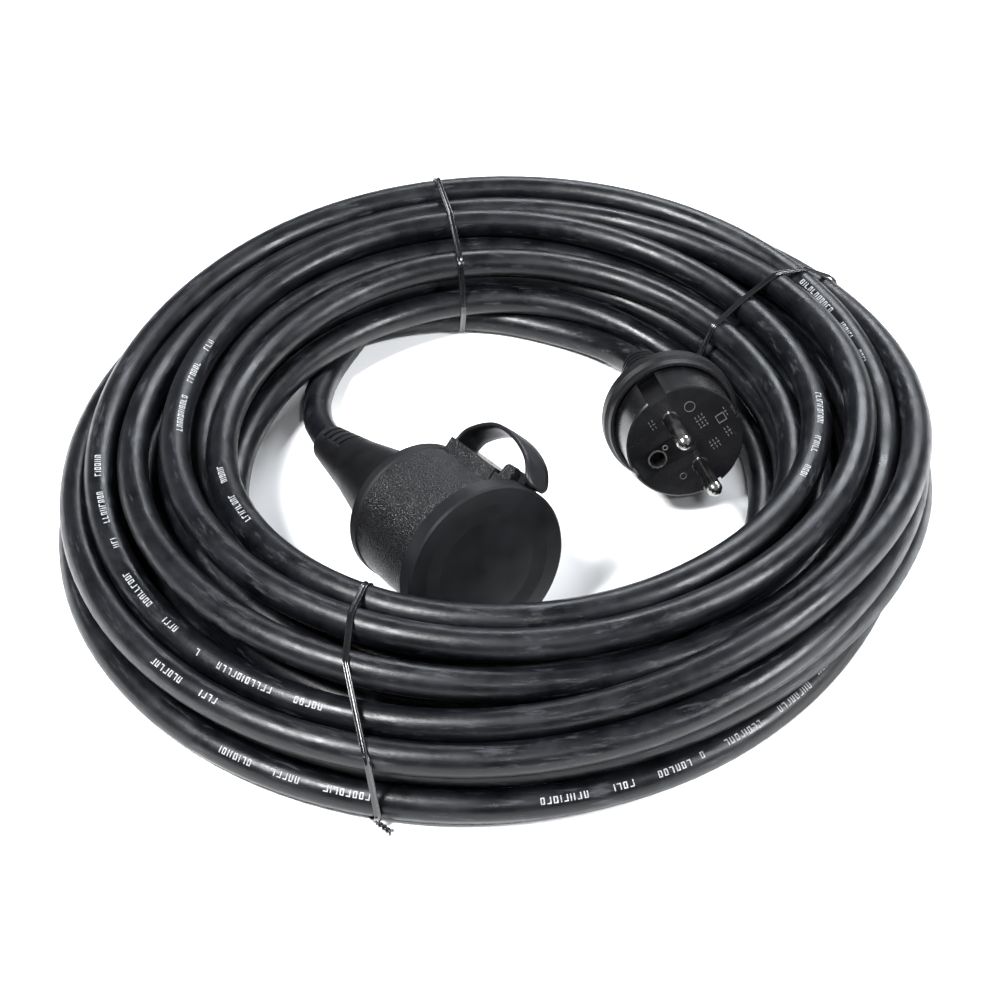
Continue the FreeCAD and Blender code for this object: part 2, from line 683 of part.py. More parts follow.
def make_strap():
    """The flexible strap that ties the cap to the rear of the rail, arching clear of the hinge."""
    half = dim("strap_thickness") / 2
    points = [FreeCAD.Vector(x, 0, z) for x, z in STRAP_LINE]
    curve = Part.BSplineCurve()
    curve.interpolate(points)
    centre = curve.toShape()
    upper = []
    lower = []
    for step in range(STRAP_STEPS + 1):
        place = curve.FirstParameter + (curve.LastParameter - curve.FirstParameter) * step / STRAP_STEPS
        tangent = FreeCAD.Vector(*curve.tangent(place)[0])
        normal = FreeCAD.Vector(-tangent.z, 0, tangent.x)
        middle = centre.valueAt(place)
        upper.append(middle + normal * half)
        lower.append(middle - normal * half)
    side = Part.Face(closed_wire(upper + lower[::-1]))
    side.translate(FreeCAD.Vector(0, -dim("strap_width") / 2, 0))
    strap = side.extrude(FreeCAD.Vector(0, dim("strap_width"), 0))
    rail_start = dim("coupler_barrel_start") + dim("edge_round")
    foot_corner = FreeCAD.Vector(rail_start, -dim("strap_width") / 2, dim("rail_height"))
    foot = Part.makeBox(STRAP_FOOT_LENGTH, dim("strap_width"), STRAP_FOOT_HEIGHT, foot_corner)
    keep(feature("cap_strap", strap.fuse(foot)), "cap_strap", COUPLER)


# ---------------------------------------------------------------- the plug
HANDLE_PROFILE = [(12.0, 8.6), (22.0, 10.4), (30.0, 14.2), (36.0, 20.0)]    # station and radius
FLANGE_START = 38.0
FLANGE_EDGE = 41.6
FLANGE_SHOULDER = 43.0
FLANGE_FACE = 43.6
LIP_TOP = 45.2                      # a thin raised lip stands on the flange round the nose
LIP_OUTER = 20.3
LIP_FOOT = 20.6
LIP_INNER = 19.4
PLUG_CAVITY = [(30.0, 12.3), (27.0, 11.5), (22.0, 8.2)]     # station and radius of the room for the cores
PLUG_CAVITY_MOUTH = 14.0
PLUG_CAVITY_FOOT = 5.6
NOSE_START = 36.0                   # the nose's foot sits in the moulding from here
NOSE_FOOT_RADIUS = 15.5
NOSE_ROUND = 0.5
PLUG_CLIP_OUT = 18.2
PLUG_CLIP_THICKNESS = 0.8
PLUG_CLIP_HALF_WIDTH = 1.95
PLUG_CLIP_END = 58.6
CLIP_FOOT_RADIUS = 13.6             # the clips stand on feet this far from the axis
CHANNEL_HALF_WIDTH = 2.25
GUIDE_GROOVE_FLOOR = 16.9
GUIDE_GROOVE_HALF_WIDTH = 3.2
EARTH_HOLE_RADIUS = 3.1
EARTH_HOLE_DEPTH = 18.6
EARTH_SLEEVE_RADIUS = 3.05
EARTH_SLEEVE_LENGTH = 17.2
DISH_HALF_WIDTH = 4.2
DISH_LOW = -17.0
DISH_HIGH = 0.5
CRIMP_POCKET = 2.0
PLUG_CRIMP_LENGTH = 6.0
PIN_COLLAR_RADIUS = 4.0
PIN_SINK = 0.2
PIN_SHANK_RADIUS = 2.7              # the shank inside the nose is thicker than the pin in front of it
PIN_DOME = [(1.9, 2.4), (1.0, 2.05), (0.35, 1.35), (0.0, 0.5)]      # distance behind the tip, and radius
GRIP_COUNT = 3
GRIP_START = 2.6
GRIP_PITCH = 3.4
GRIP_WIDTH = 1.3
GRIP_DEPTH = 0.6


def make_plug_moulding():
    """The plug's rubber handle and round flange, bored for the jacket and hollow for the cores."""
    outline = [
        (0, "cord_radius_tight"),
        (0, "plug_neck_radius"),
    ]
    outline += HANDLE_PROFILE
    outline += [
        (FLANGE_START, "plug_flange_radius"),
        (FLANGE_EDGE, "plug_flange_radius"),
        (FLANGE_SHOULDER, LIP_FOOT),
        (LIP_TOP, LIP_OUTER),
        (LIP_TOP, LIP_INNER),
        (FLANGE_FACE, LIP_INNER),
        (FLANGE_FACE, NOSE_FOOT_RADIUS + FIT_GAP),
        (NOSE_START - FIT_GAP, NOSE_FOOT_RADIUS + FIT_GAP),
        (NOSE_START - FIT_GAP, PLUG_CAVITY_MOUTH),
    ]
    outline += PLUG_CAVITY
    outline += [
        ("jacket_depth", PLUG_CAVITY_FOOT),
        ("jacket_depth", "cord_radius_tight"),
    ]
    body = turned("plug_moulding_body", outline)
    grooves = []
    for index in range(GRIP_COUNT):
        start = GRIP_START + index * GRIP_PITCH
        first_station, first_radius = HANDLE_PROFILE[0]
        slope = (first_radius - dim("plug_neck_radius")) / first_station
        floor = round(dim("plug_neck_radius") + slope * start - GRIP_DEPTH, 2)
        disc = rod("grip_disc_%d" % index, "x", (start, 0, 0), SLOT_REACH, GRIP_WIDTH)
        core = rod("grip_core_%d" % index, "x", (start - BEYOND, 0, 0), floor, GRIP_WIDTH + 2 * BEYOND)
        grooves.append(cut("grip_groove_%d" % index, disc, [core]))
    keep(cut("plug_moulding", body, grooves), "plug_moulding", PLUG)


def make_plug_nose():
    """The hard nose that holds the pins: guide grooves, clip channels, the earth hole and its dish."""
    outline = [
        (NOSE_START, 0),
        (NOSE_START, NOSE_FOOT_RADIUS),
        (FLANGE_FACE, NOSE_FOOT_RADIUS),
        (FLANGE_FACE, "nose_radius"),
        (dim("plug_length") - NOSE_ROUND, "nose_radius"),
        ("plug_length", dim("nose_radius") - NOSE_ROUND),
        ("plug_length", 0),
    ]
    body = turned("plug_nose_body", outline)
    back = NOSE_START - BEYOND
    front = dim("plug_length") + BEYOND
    past_edge = dim("nose_radius") + BEYOND
    channel_floor = PLUG_CLIP_OUT - PLUG_CLIP_THICKNESS - FIT_GAP
    foot_floor = CLIP_FOOT_RADIUS - FIT_GAP
    foot_end = FLANGE_FACE + 2 * FIT_GAP + PLUG_CLIP_THICKNESS
    tools = []
    for side in SIDES:
        across = side * dim("pin_spacing") / 2
        tools.append(rod("pin_hole_" + SIDES[side], "x", (back, across, 0), PIN_COLLAR_RADIUS + FIT_GAP,
                         BEYOND + CRIMP_POCKET))
        tools.append(rod("pin_bore_" + SIDES[side], "x", (back, across, 0), PIN_SHANK_RADIUS, front - back))
        start, end = sorted((side * GUIDE_GROOVE_FLOOR, side * past_edge))
        tools.append(block("guide_groove_" + SIDES[side], (FLANGE_FACE - FIT_GAP, start, -GUIDE_GROOVE_HALF_WIDTH),
                           (front, end, GUIDE_GROOVE_HALF_WIDTH)))
        start, end = sorted((side * channel_floor, side * past_edge))
        tools.append(block("clip_channel_" + SIDES[side], (FLANGE_FACE - FIT_GAP, -CHANNEL_HALF_WIDTH, start),
                           (front, CHANNEL_HALF_WIDTH, end)))
        start, end = sorted((side * foot_floor, side * (channel_floor + FIT_GAP)))
        tools.append(block("clip_foot_room_" + SIDES[side], (back, -CHANNEL_HALF_WIDTH, start),
                           (foot_end, CHANNEL_HALF_WIDTH, end)))
    tools.append(rod("earth_hole", "x", (front - EARTH_HOLE_DEPTH, 0, "0 - earth_offset"), EARTH_HOLE_RADIUS,
                     EARTH_HOLE_DEPTH))
    tools.append(block("earth_dish", (dim("plug_length") - NOSE_ROUND, -DISH_HALF_WIDTH, DISH_LOW),
                       (front, DISH_HALF_WIDTH, DISH_HIGH)))
    bridge_reach = CLIP_FOOT_RADIUS + PLUG_CLIP_THICKNESS + FIT_GAP
    tools.append(block("bridge_slot", (back, -CHANNEL_HALF_WIDTH, -bridge_reach),
                       (NOSE_START + BEYOND, CHANNEL_HALF_WIDTH, bridge_reach)))
    keep(cut("plug_nose", body, tools), "plug_nose", PLUG)


def make_plug_pin(label, side):
    """A nickelled brass pin with a domed tip, a shank through the nose and its crimp behind."""
    across = side * dim("pin_spacing") / 2
    radius = dim("pin_diameter") / 2
    tip = "plug_length + pin_length"
    crimp_back = NOSE_START - PLUG_CRIMP_LENGTH
    collar_front = NOSE_START + CRIMP_POCKET - FIT_GAP
    nose_face = "plug_length"
    outline = [
        (crimp_back, 0),
        (crimp_back, CRIMP_RADIUS),
        (NOSE_START + PIN_SINK, CRIMP_RADIUS),
        (NOSE_START + PIN_SINK, PIN_COLLAR_RADIUS),
        (collar_front, PIN_COLLAR_RADIUS),
        (collar_front, PIN_SHANK_RADIUS),
        (nose_face, PIN_SHANK_RADIUS),
        (nose_face, radius),
    ]
    outline += [(tip + " - %s" % behind, dome_radius) for behind, dome_radius in PIN_DOME]
    outline += [(tip, 0)]
    body = turned(label + "_body", outline)
    hole = rod(label + "_core_hole", "x", (crimp_back - BEYOND, 0, 0), "core_clear_radius", 5 * BEYOND)
    pin = cut(label, body, [hole])
    keep(pin, label, PLUG.multiply(FreeCAD.Placement(FreeCAD.Vector(0, across, 0), FreeCAD.Rotation())))


def make_plug_earth():
    """The plug's earth clips on both sides of the nose, their bridge, and the earth hole's sleeve."""
    base = NOSE_START + FIT_GAP
    half = PLUG_CLIP_HALF_WIDTH
    inner = CLIP_FOOT_RADIUS
    outer = inner + PLUG_CLIP_THICKNESS
    step_start = FLANGE_FACE + FIT_GAP
    step_end = step_start + PLUG_CLIP_THICKNESS
    parts = [block("plug_bridge", (base, -half, -outer), (base + PLUG_CLIP_THICKNESS, half, outer))]
    for side in SIDES:
        low, high = sorted((side * inner, side * outer))
        parts.append(block("plug_clip_foot_" + SIDES[side], (base, -half, low), (step_end, half, high)))
        low, high = sorted((side * inner, side * PLUG_CLIP_OUT))
        parts.append(block("plug_clip_step_" + SIDES[side], (step_start, -half, low), (step_end, half, high)))
        low, high = sorted((side * (PLUG_CLIP_OUT - PLUG_CLIP_THICKNESS), side * PLUG_CLIP_OUT))
        parts.append(block("plug_clip_" + SIDES[side], (step_start, -half, low), (PLUG_CLIP_END, half, high)))
    crimp_back = NOSE_START - PLUG_CRIMP_LENGTH
    parts.append(rod("plug_earth_crimp", "x", (crimp_back, 0, 0), CRIMP_RADIUS, PLUG_CRIMP_LENGTH + CRIMP_SINK))
    solid = fuse("plug_earth_solid", parts)
    hole = rod("plug_earth_core_hole", "x", (crimp_back - BEYOND, 0, 0), "core_clear_radius", 5 * BEYOND)
    keep(cut("plug_earth_clips", solid, [hole]), "plug_earth_clips", PLUG)

    mouth = dim("plug_length") - NOSE_ROUND
    back = mouth - EARTH_SLEEVE_LENGTH + NOSE_ROUND / 2
    sleeve = rod("sleeve_outside", "x", (back, 0, "0 - earth_offset"), EARTH_SLEEVE_RADIUS, EARTH_SLEEVE_LENGTH)
    bore = rod("sleeve_bore", "x", (back + SLEEVE_FLOOR, 0, "0 - earth_offset"), dim("contact_bore") / 2,
               EARTH_SLEEVE_LENGTH)
    keep(cut("plug_earth_sleeve", sleeve, [bore]), "plug_earth_sleeve", PLUG)


# ---------------------------------------------------------------- build, check and write
make_ring()
for tie_label, tie_angle in TIE_ANGLES.items():
    make_tie(tie_label, tie_angle)
make_tail("cord_to_coupler", COUPLER_TAIL)
make_tail("cord_to_plug", PLUG_TAIL)
make_coupler_moulding()
make_coupler_barrel()
make_contact_carrier()
make_line_contact("line_contact_left", 1)
make_line_contact("line_contact_right", -1)
make_earth_contact()
make_cores("coupler", COUPLER, COUPLER_SPREAD, CRIMP_START)
make_hinge()
make_cap()
make_strap()
make_plug_moulding()
make_plug_nose()
make_plug_pin("plug_pin_left", 1)
make_plug_pin("plug_pin_right", -1)
make_plug_earth()
make_cores("plug", PLUG, PLUG_SPREAD, NOSE_START - PLUG_CRIMP_LENGTH)
doc.recompute()

for item in doc.Objects:
    if "Invalid" in item.State or "Error" in item.State:
        raise ValueError("%s failed: %s" % (item.Name, item.State))
os.makedirs("parts", exist_ok=True)
for node in nodes:
    shape = node.Shape
    if shape.isNull() or not shape.isValid():
        raise ValueError(node.Label + " has no valid shape")
    shape.exportStep("parts/%s.step" % node.Label)
    print(node.Label, "solids", len(shape.Solids), "volume", round(shape.Volume))
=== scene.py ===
"""A ten metre rubber extension cord, wound in a loose coil and held by three ties."""

import math

import bmesh
import bpy
import numpy as np
from mathutils import Euler, Matrix, Vector


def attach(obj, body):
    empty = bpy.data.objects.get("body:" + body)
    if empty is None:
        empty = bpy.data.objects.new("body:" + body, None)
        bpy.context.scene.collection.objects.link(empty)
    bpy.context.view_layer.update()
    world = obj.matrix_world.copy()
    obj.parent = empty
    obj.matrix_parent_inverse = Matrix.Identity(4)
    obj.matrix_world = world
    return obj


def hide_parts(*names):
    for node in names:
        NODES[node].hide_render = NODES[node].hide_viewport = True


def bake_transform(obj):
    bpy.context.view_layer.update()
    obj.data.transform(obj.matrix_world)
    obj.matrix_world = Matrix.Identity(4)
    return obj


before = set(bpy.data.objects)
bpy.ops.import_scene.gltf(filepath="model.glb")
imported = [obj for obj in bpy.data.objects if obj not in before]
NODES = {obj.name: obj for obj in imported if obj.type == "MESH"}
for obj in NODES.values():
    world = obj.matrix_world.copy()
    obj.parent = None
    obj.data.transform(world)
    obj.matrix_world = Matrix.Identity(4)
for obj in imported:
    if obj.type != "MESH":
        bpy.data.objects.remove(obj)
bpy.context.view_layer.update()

MM = 0.001
CORD_RADIUS = 4.75                  # millimetres, as are all the lengths in the tables below


# ---------------------------------------------------------------- camera, floor and light
CAMERA_ELEVATION = math.radians(41.67)
CAMERA_DISTANCE = 0.65              # metres, as are all the lengths in this part
CAMERA_TARGET = Vector((-0.00195, 0.0, -0.0003))
CAMERA_LENS = 73.7                  # millimetres
CAMERA_NEAREST = 0.01
SURROUND_COLOUR = (0.93, 0.95, 1.0, 1.0)
SURROUND_STRENGTH = 0.26
FLOOR_HALF = 6.0
FLOOR_COLOUR = (0.93, 0.93, 0.93, 1.0)
FLOOR_ROUGHNESS = 0.9
# Each light's name, place, width and depth, power in watts, and colour. The last stands near the camera.
LIGHTS = [
    ("key", (-0.50, -0.35, 0.95), (0.26, 0.26), 33.0, (0.97, 0.985, 1.0)),
    ("back", (0.30, 0.85, 0.75), (0.7, 0.2), 12.5, (0.91, 0.95, 1.0)),
    ("side", (0.85, -0.30, 0.55), (0.14, 0.30), 16.0, (0.95, 0.975, 1.0)),
    ("front", (0.10, -0.60, 0.62), (0.06, 0.06), 1.3, (0.97, 0.985, 1.0)),
]


def make_camera():
    """The camera looks along +Y, from above the front."""
    back = Vector((0.0, -math.cos(CAMERA_ELEVATION), math.sin(CAMERA_ELEVATION)))
    data = bpy.data.cameras.new("camera")
    data.lens = CAMERA_LENS
    data.clip_start = CAMERA_NEAREST
    camera = bpy.data.objects.new("camera", data)
    camera.location = CAMERA_TARGET + back * CAMERA_DISTANCE
    camera.rotation_euler = (math.pi / 2 - CAMERA_ELEVATION, 0.0, 0.0)
    bpy.context.collection.objects.link(camera)
    bpy.context.scene.camera = camera


def area_light(name, place, size, power, colour):
    """A soft rectangular light that points at the coil."""
    data = bpy.data.lights.new(name, "AREA")
    data.shape = "RECTANGLE"
    data.size, data.size_y = size
    data.energy = power
    data.color = colour
    light = bpy.data.objects.new(name, data)
    light.location = place
    light.rotation_euler = (-Vector(place)).to_track_quat("-Z", "Y").to_euler()
    bpy.context.collection.objects.link(light)


def make_studio():
    """A pale floor, a pale surround and four soft lights."""
    world = bpy.data.worlds.new("surround")
    world.use_nodes = True
    background = world.node_tree.nodes["Background"]
    background.inputs["Color"].default_value = SURROUND_COLOUR
    background.inputs["Strength"].default_value = SURROUND_STRENGTH
    bpy.context.scene.world = world
    bpy.context.scene.view_settings.view_transform = "Standard"

    mesh = bpy.data.meshes.new("floor")
    corners = [(x * FLOOR_HALF, y * FLOOR_HALF, 0) for x, y in ((-1, -1), (1, -1), (1, 1), (-1, 1))]
    mesh.from_pydata(corners, [], [(0, 1, 2, 3)])
    floor = bpy.data.objects.new("floor", mesh)
    bpy.context.collection.objects.link(floor)
    pale = bpy.data.materials.new("pale_floor")
    pale.use_nodes = True
    shader = pale.node_tree.nodes["Principled BSDF"]
    shader.inputs["Base Color"].default_value = FLOOR_COLOUR
    shader.inputs["Roughness"].default_value = FLOOR_ROUGHNESS
    mesh.materials.append(pale)

    for light in LIGHTS:
        area_light(*light)


# ---------------------------------------------------------------- materials
# Noise scales are in features per metre and bump heights in millimetres. A ramp's stops are pairs of a value
# and the shade or colour that it gives.
HANDLING_MARKS = (0.11, 0.112, 0.118)
DUST = (0.009, 0.010, 0.0135)
CHALK = (0.080, 0.084, 0.094)
CORE_DUST = (0.35, 0.33, 0.30)
JACKET_SHADES = [(0.34, (0.0009, 0.0010, 0.0015)), (0.68, (0.0030, 0.0033, 0.0048))]
DUST_STOPS = [(0.52, 0.0), (0.74, 0.42)]
CHALK_STOPS = [(0.56, 0.0), (0.74, 0.50)]
PEBBLE_HIGHLIGHT_STOPS = [(0.08, 0.70), (0.42, 0.0)]
STRIPE_STOPS = [(0.49, 0.0), (0.51, 1.0)]
CORE_DUST_STOPS = [(0.5, 0.0), (0.8, 0.25)]
INK_SHADES = [(0.34, (0.10, 0.105, 0.11)), (0.60, (0.34, 0.345, 0.355))]
# a pebble's top made paler is a painted highlight
PALER = 3.0                         # a worn edge or a pebble's top is this much paler
MIX_SOCKETS = (0, 6, 7)             # where a colour mix takes its share and its two colours,
MIX_RESULT = 2                      # and where it gives the result


class Paint:
    """Adds nodes to one material, one call per node."""

    def __init__(self, name):
        self.material = bpy.data.materials.new(name)
        self.material.use_nodes = True
        self.tree = self.material.node_tree
        self.shader = self.tree.nodes["Principled BSDF"]
        self.place = self.add("ShaderNodeTexCoord").outputs["Object"]

    def add(self, kind, **settings):
        node = self.tree.nodes.new(kind)
        for key, value in settings.items():
            setattr(node, key, value)
        return node

    def link(self, source, target):
        self.tree.links.new(source, target)

    def set(self, **values):
        """Sets the shader's own sockets, with spaces written as underscores."""
        for key, value in values.items():
            self.shader.inputs[key.replace("_", " ")].default_value = value

    def noise(self, scale, detail=3.0, roughness=0.55, where=None, depth=None):
        """A noise value from 0 to 1. Scale is in features per metre."""
        node = self.add("ShaderNodeTexNoise")
        if depth is not None:
            node.noise_dimensions = "4D"
            self.link(depth, node.inputs["W"])
        node.inputs["Scale"].default_value = scale
        node.inputs["Detail"].default_value = detail
        node.inputs["Roughness"].default_value = roughness
        self.link(where or self.place, node.inputs["Vector"])
        return node.outputs["Fac"]

    def ramp(self, value, stops):
        """A value or colour through a list of (position, shade or colour) stops."""
        node = self.add("ShaderNodeValToRGB")
        elements = node.color_ramp.elements
        while len(elements) < len(stops):
            elements.new(0.5)
        for element, (position, shade) in zip(elements, stops):
            element.position = position
            element.color = (*shade, 1.0) if isinstance(shade, tuple) else (shade, shade, shade, 1.0)
        self.link(value, node.inputs["Fac"])
        return node.outputs["Color"]

    def math(self, operation, first, second):
        node = self.add("ShaderNodeMath", operation=operation)
        for socket, value in zip(node.inputs, (first, second)):
            if isinstance(value, (int, float)):
                socket.default_value = value
            else:
                self.link(value, socket)
        return node.outputs["Value"]

    def mix(self, share, first, second):
        """Between two colours; share is a value, and each colour a tuple or an output."""
        node = self.add("ShaderNodeMix", data_type="RGBA")
        for place, value in zip(MIX_SOCKETS, (share, first, second)):
            socket = node.inputs[place]
            if isinstance(value, tuple):
                socket.default_value = (*value, 1.0)
            elif isinstance(value, (int, float)):
                socket.default_value = value
            else:
                self.link(value, socket)
        return node.outputs[MIX_RESULT]

    def colour(self, output):
        self.link(output, self.shader.inputs["Base Color"])

    def roughness(self, value, low, high):
        """Roughness between two limits, following a value."""
        node = self.add("ShaderNodeMapRange")
        node.inputs["To Min"].default_value = low
        node.inputs["To Max"].default_value = high
        self.link(value, node.inputs["Value"])
        self.link(node.outputs["Result"], self.shader.inputs["Roughness"])

    def bump(self, value, height, strength=1.0):
        """Raises the surface by a value times a height in millimetres; several calls add up."""
        node = self.add("ShaderNodeBump")
        node.inputs["Distance"].default_value = height * MM
        node.inputs["Strength"].default_value = strength
        self.link(value, node.inputs["Height"])
        normal = self.shader.inputs["Normal"]
        if normal.is_linked:
            self.link(normal.links[0].from_socket, node.inputs["Normal"])
        self.link(node.outputs["Normal"], normal)


def along_the_turns(paint, stretch, across):
    """Coordinates that run round the coil, and a fourth one, to draw a noise out along the strands."""
    parts = paint.add("ShaderNodeSeparateXYZ")
    paint.link(paint.place, parts.inputs["Vector"])
    flat = paint.add("ShaderNodeCombineXYZ")
    paint.link(parts.outputs["X"], flat.inputs["X"])
    paint.link(parts.outputs["Y"], flat.inputs["Y"])
    reach = paint.add("ShaderNodeVectorMath", operation="LENGTH")
    paint.link(flat.outputs["Vector"], reach.inputs[0])
    unit = paint.add("ShaderNodeVectorMath", operation="NORMALIZE")
    paint.link(flat.outputs["Vector"], unit.inputs[0])
    long = paint.add("ShaderNodeVectorMath", operation="SCALE")
    long.inputs["Scale"].default_value = stretch
    paint.link(unit.outputs["Vector"], long.inputs[0])
    along = paint.add("ShaderNodeSeparateXYZ")
    paint.link(long.outputs["Vector"], along.inputs["Vector"])
    where = paint.add("ShaderNodeCombineXYZ")
    paint.link(along.outputs["X"], where.inputs["X"])
    paint.link(along.outputs["Y"], where.inputs["Y"])
    paint.link(paint.math("MULTIPLY", reach.outputs["Value"], across), where.inputs["Z"])
    return where.outputs["Vector"], paint.math("MULTIPLY", parts.outputs["Z"], across)


def paler(colour, lift):
    return tuple(channel * PALER + lift for channel in colour)


def rubber_jacket():
    """Black rubber with a soft sheen, chalky scuffs and rubbed streaks along the strands."""
    paint = Paint("cord_rubber")
    mottling = paint.noise(scale=95.0, detail=5.0, roughness=0.62)
    streak_place, streak_depth = along_the_turns(paint, stretch=7.0, across=330.0)
    streaks = paint.noise(scale=1.0, detail=3.0, where=streak_place, depth=streak_depth)
    scuff_place, scuff_depth = along_the_turns(paint, stretch=8.0, across=430.0)
    scuffs = paint.noise(scale=1.0, detail=5.0, roughness=0.7, where=scuff_place, depth=scuff_depth)
    grain = paint.noise(scale=2600.0, detail=2.0)
    dusty = paint.mix(paint.ramp(streaks, DUST_STOPS), paint.ramp(mottling, JACKET_SHADES), DUST)
    paint.colour(paint.mix(paint.ramp(scuffs, CHALK_STOPS), dusty, CHALK))
    paint.roughness(mottling, low=0.12, high=0.62)
    paint.bump(grain, height=0.035, strength=0.6)
    paint.bump(mottling, height=0.30, strength=0.6)
    paint.bump(streaks, height=0.20, strength=0.6)
    paint.bump(scuffs, height=0.12, strength=0.6)
    paint.set(Specular_IOR_Level=0.27)
    return paint.material


def moulded_plastic(name, dark, light, roughness, grain_scale, grain_height,
                    scratches=0.25, specular=0.5, wear=0.5):
    """Moulded plastic or rubber with faint flow marks, its own grain and light handling marks."""
    paint = Paint(name)
    mottling = paint.noise(scale=120.0, detail=4.0)
    grain = paint.noise(scale=grain_scale, detail=2.0, roughness=0.6)
    marks = paint.noise(scale=430.0, detail=6.0, roughness=0.75)
    base = paint.ramp(mottling, [(0.32, dark), (0.70, light)])
    worn = paint.add("ShaderNodeNewGeometry").outputs["Pointiness"]
    edge = paint.ramp(worn, [(0.53, 0.0), (0.62, wear)])
    rubbed = paint.mix(edge, base, paler(light, lift=0.01))
    marked = paint.mix(paint.ramp(marks, [(0.62, 0.0), (0.75, scratches)]), rubbed, HANDLING_MARKS)
    paint.colour(marked)
    paint.roughness(mottling, *roughness)
    paint.bump(grain, height=grain_height, strength=0.8)
    paint.bump(marks, height=0.02, strength=0.6)
    paint.set(Specular_IOR_Level=specular)
    return paint.material


def pebbled_plastic(name, dark, light, pebble_scale, pebble_height):
    """Moulded plastic with a fine raised pebble grain; each pebble's top is painted paler as a highlight."""
    paint = Paint(name)
    cells = paint.add("ShaderNodeTexVoronoi", feature="SMOOTH_F1")
    cells.inputs["Scale"].default_value = pebble_scale
    cells.inputs["Smoothness"].default_value = 0.6
    paint.link(paint.place, cells.inputs["Vector"])
    pebbles = cells.outputs["Distance"]
    mottling = paint.noise(scale=150.0, detail=4.0)
    fine = paint.noise(scale=2400.0, detail=2.0)
    base = paint.ramp(mottling, [(0.3, dark), (0.72, light)])
    # each pebble's top is painted paler: a painted highlight
    paint.colour(paint.mix(paint.ramp(pebbles, PEBBLE_HIGHLIGHT_STOPS), base, paler(light, lift=0.004)))
    paint.roughness(pebbles, low=0.14, high=0.58)
    paint.bump(paint.math("MULTIPLY", pebbles, -1.0), height=pebble_height)
    paint.bump(fine, height=0.03, strength=0.5)
    paint.set(Specular_IOR_Level=0.42)
    return paint.material


def bright_metal(name, dark, light, roughness):
    """Plated or drawn metal with fine drawing marks and slight tarnish."""
    paint = Paint(name)
    tarnish = paint.noise(scale=260.0, detail=5.0)
    lines = paint.noise(scale=900.0, detail=2.0)
    paint.colour(paint.ramp(tarnish, [(0.3, dark), (0.7, light)]))
    paint.roughness(tarnish, *roughness)
    paint.bump(lines, height=0.012, strength=0.5)
    paint.set(Metallic=1.0)
    return paint.material


def core_insulation(name, first, second):
    """A core's coloured insulation; two colours make a stripe round the core."""
    paint = Paint(name)
    speckle = paint.noise(scale=700.0, detail=3.0)
    stripe = paint.noise(scale=260.0, detail=0.0)
    striped = paint.mix(paint.ramp(stripe, STRIPE_STOPS), first, second)
    paint.colour(paint.mix(paint.ramp(speckle, CORE_DUST_STOPS), striped, CORE_DUST))
    paint.roughness(speckle, low=0.32, high=0.5)
    paint.bump(speckle, height=0.02, strength=0.5)
    return paint.material


def white_print():
    """Worn white ink."""
    paint = Paint("print_white")
    wear = paint.noise(scale=1500.0, detail=4.0, roughness=0.7)
    paint.colour(paint.ramp(wear, INK_SHADES))
    paint.roughness(wear, low=0.45, high=0.7)
    paint.bump(wear, height=0.02, strength=0.5)
    return paint.material


JACKET = rubber_jacket()

# Each plastic and metal has a darker and a lighter colour, and two roughness limits. A plastic also has the scale
# and the height of its grain or pebbles.
FINISHES = {
    "cord_rubber": JACKET,
    "tie_plastic": moulded_plastic("tie_plastic", (0.0014, 0.0014, 0.0018), (0.0036, 0.0036, 0.0042),
                                   (0.10, 0.26), 900.0, 0.02, scratches=0.14, specular=0.65),
    "moulding_rubber": moulded_plastic("moulding_rubber", (0.0014, 0.0014, 0.0018), (0.0036, 0.0036, 0.0044),
                                       (0.34, 0.56), 1500.0, 0.05, scratches=0.12, specular=0.26),
    "barrel_plastic": pebbled_plastic("barrel_plastic", (0.0010, 0.0010, 0.0014), (0.0028, 0.0028, 0.0036),
                                      2100.0, 0.30),
    "carrier_plastic": moulded_plastic("carrier_plastic", (0.010, 0.010, 0.011), (0.020, 0.020, 0.022),
                                       (0.30, 0.45), 1800.0, 0.03),
    "cap_plastic": moulded_plastic("cap_plastic", (0.0018, 0.0019, 0.0025), (0.0042, 0.0044, 0.0056),
                                   (0.30, 0.48), 2200.0, 0.03, scratches=0.16, specular=0.30, wear=0.12),
    "nose_plastic": moulded_plastic("nose_plastic", (0.0009, 0.0009, 0.0012), (0.0022, 0.0022, 0.0027),
                                    (0.20, 0.34), 2600.0, 0.012, scratches=0.10, specular=0.22),
    # the raised marks' paler colour is a painted glint
    "raised_marks_painted_glint": moulded_plastic("raised_marks_painted_glint", (0.008, 0.008, 0.009), (0.042, 0.042, 0.046),
                                    (0.14, 0.30), 2600.0, 0.012, specular=0.5),
    "pin_nickel": bright_metal("pin_nickel", (0.22, 0.22, 0.21), (0.46, 0.45, 0.44), (0.12, 0.26)),
    "contact_brass": bright_metal("contact_brass", (0.52, 0.35, 0.12), (0.80, 0.60, 0.27), (0.2, 0.38)),
    "earth_spring": bright_metal("earth_spring", (0.24, 0.235, 0.23), (0.46, 0.455, 0.44), (0.2, 0.36)),
    "core_brown": core_insulation("core_brown", (0.16, 0.060, 0.022), (0.13, 0.045, 0.018)),
    "core_blue": core_insulation("core_blue", (0.020, 0.075, 0.32), (0.018, 0.062, 0.26)),
    "core_green_yellow": core_insulation("core_green_yellow", (0.06, 0.30, 0.05), (0.72, 0.60, 0.04)),
    "hinge_steel": bright_metal("hinge_steel", (0.05, 0.05, 0.05), (0.10, 0.10, 0.10), (0.30, 0.45)),
}
PRINT = white_print()

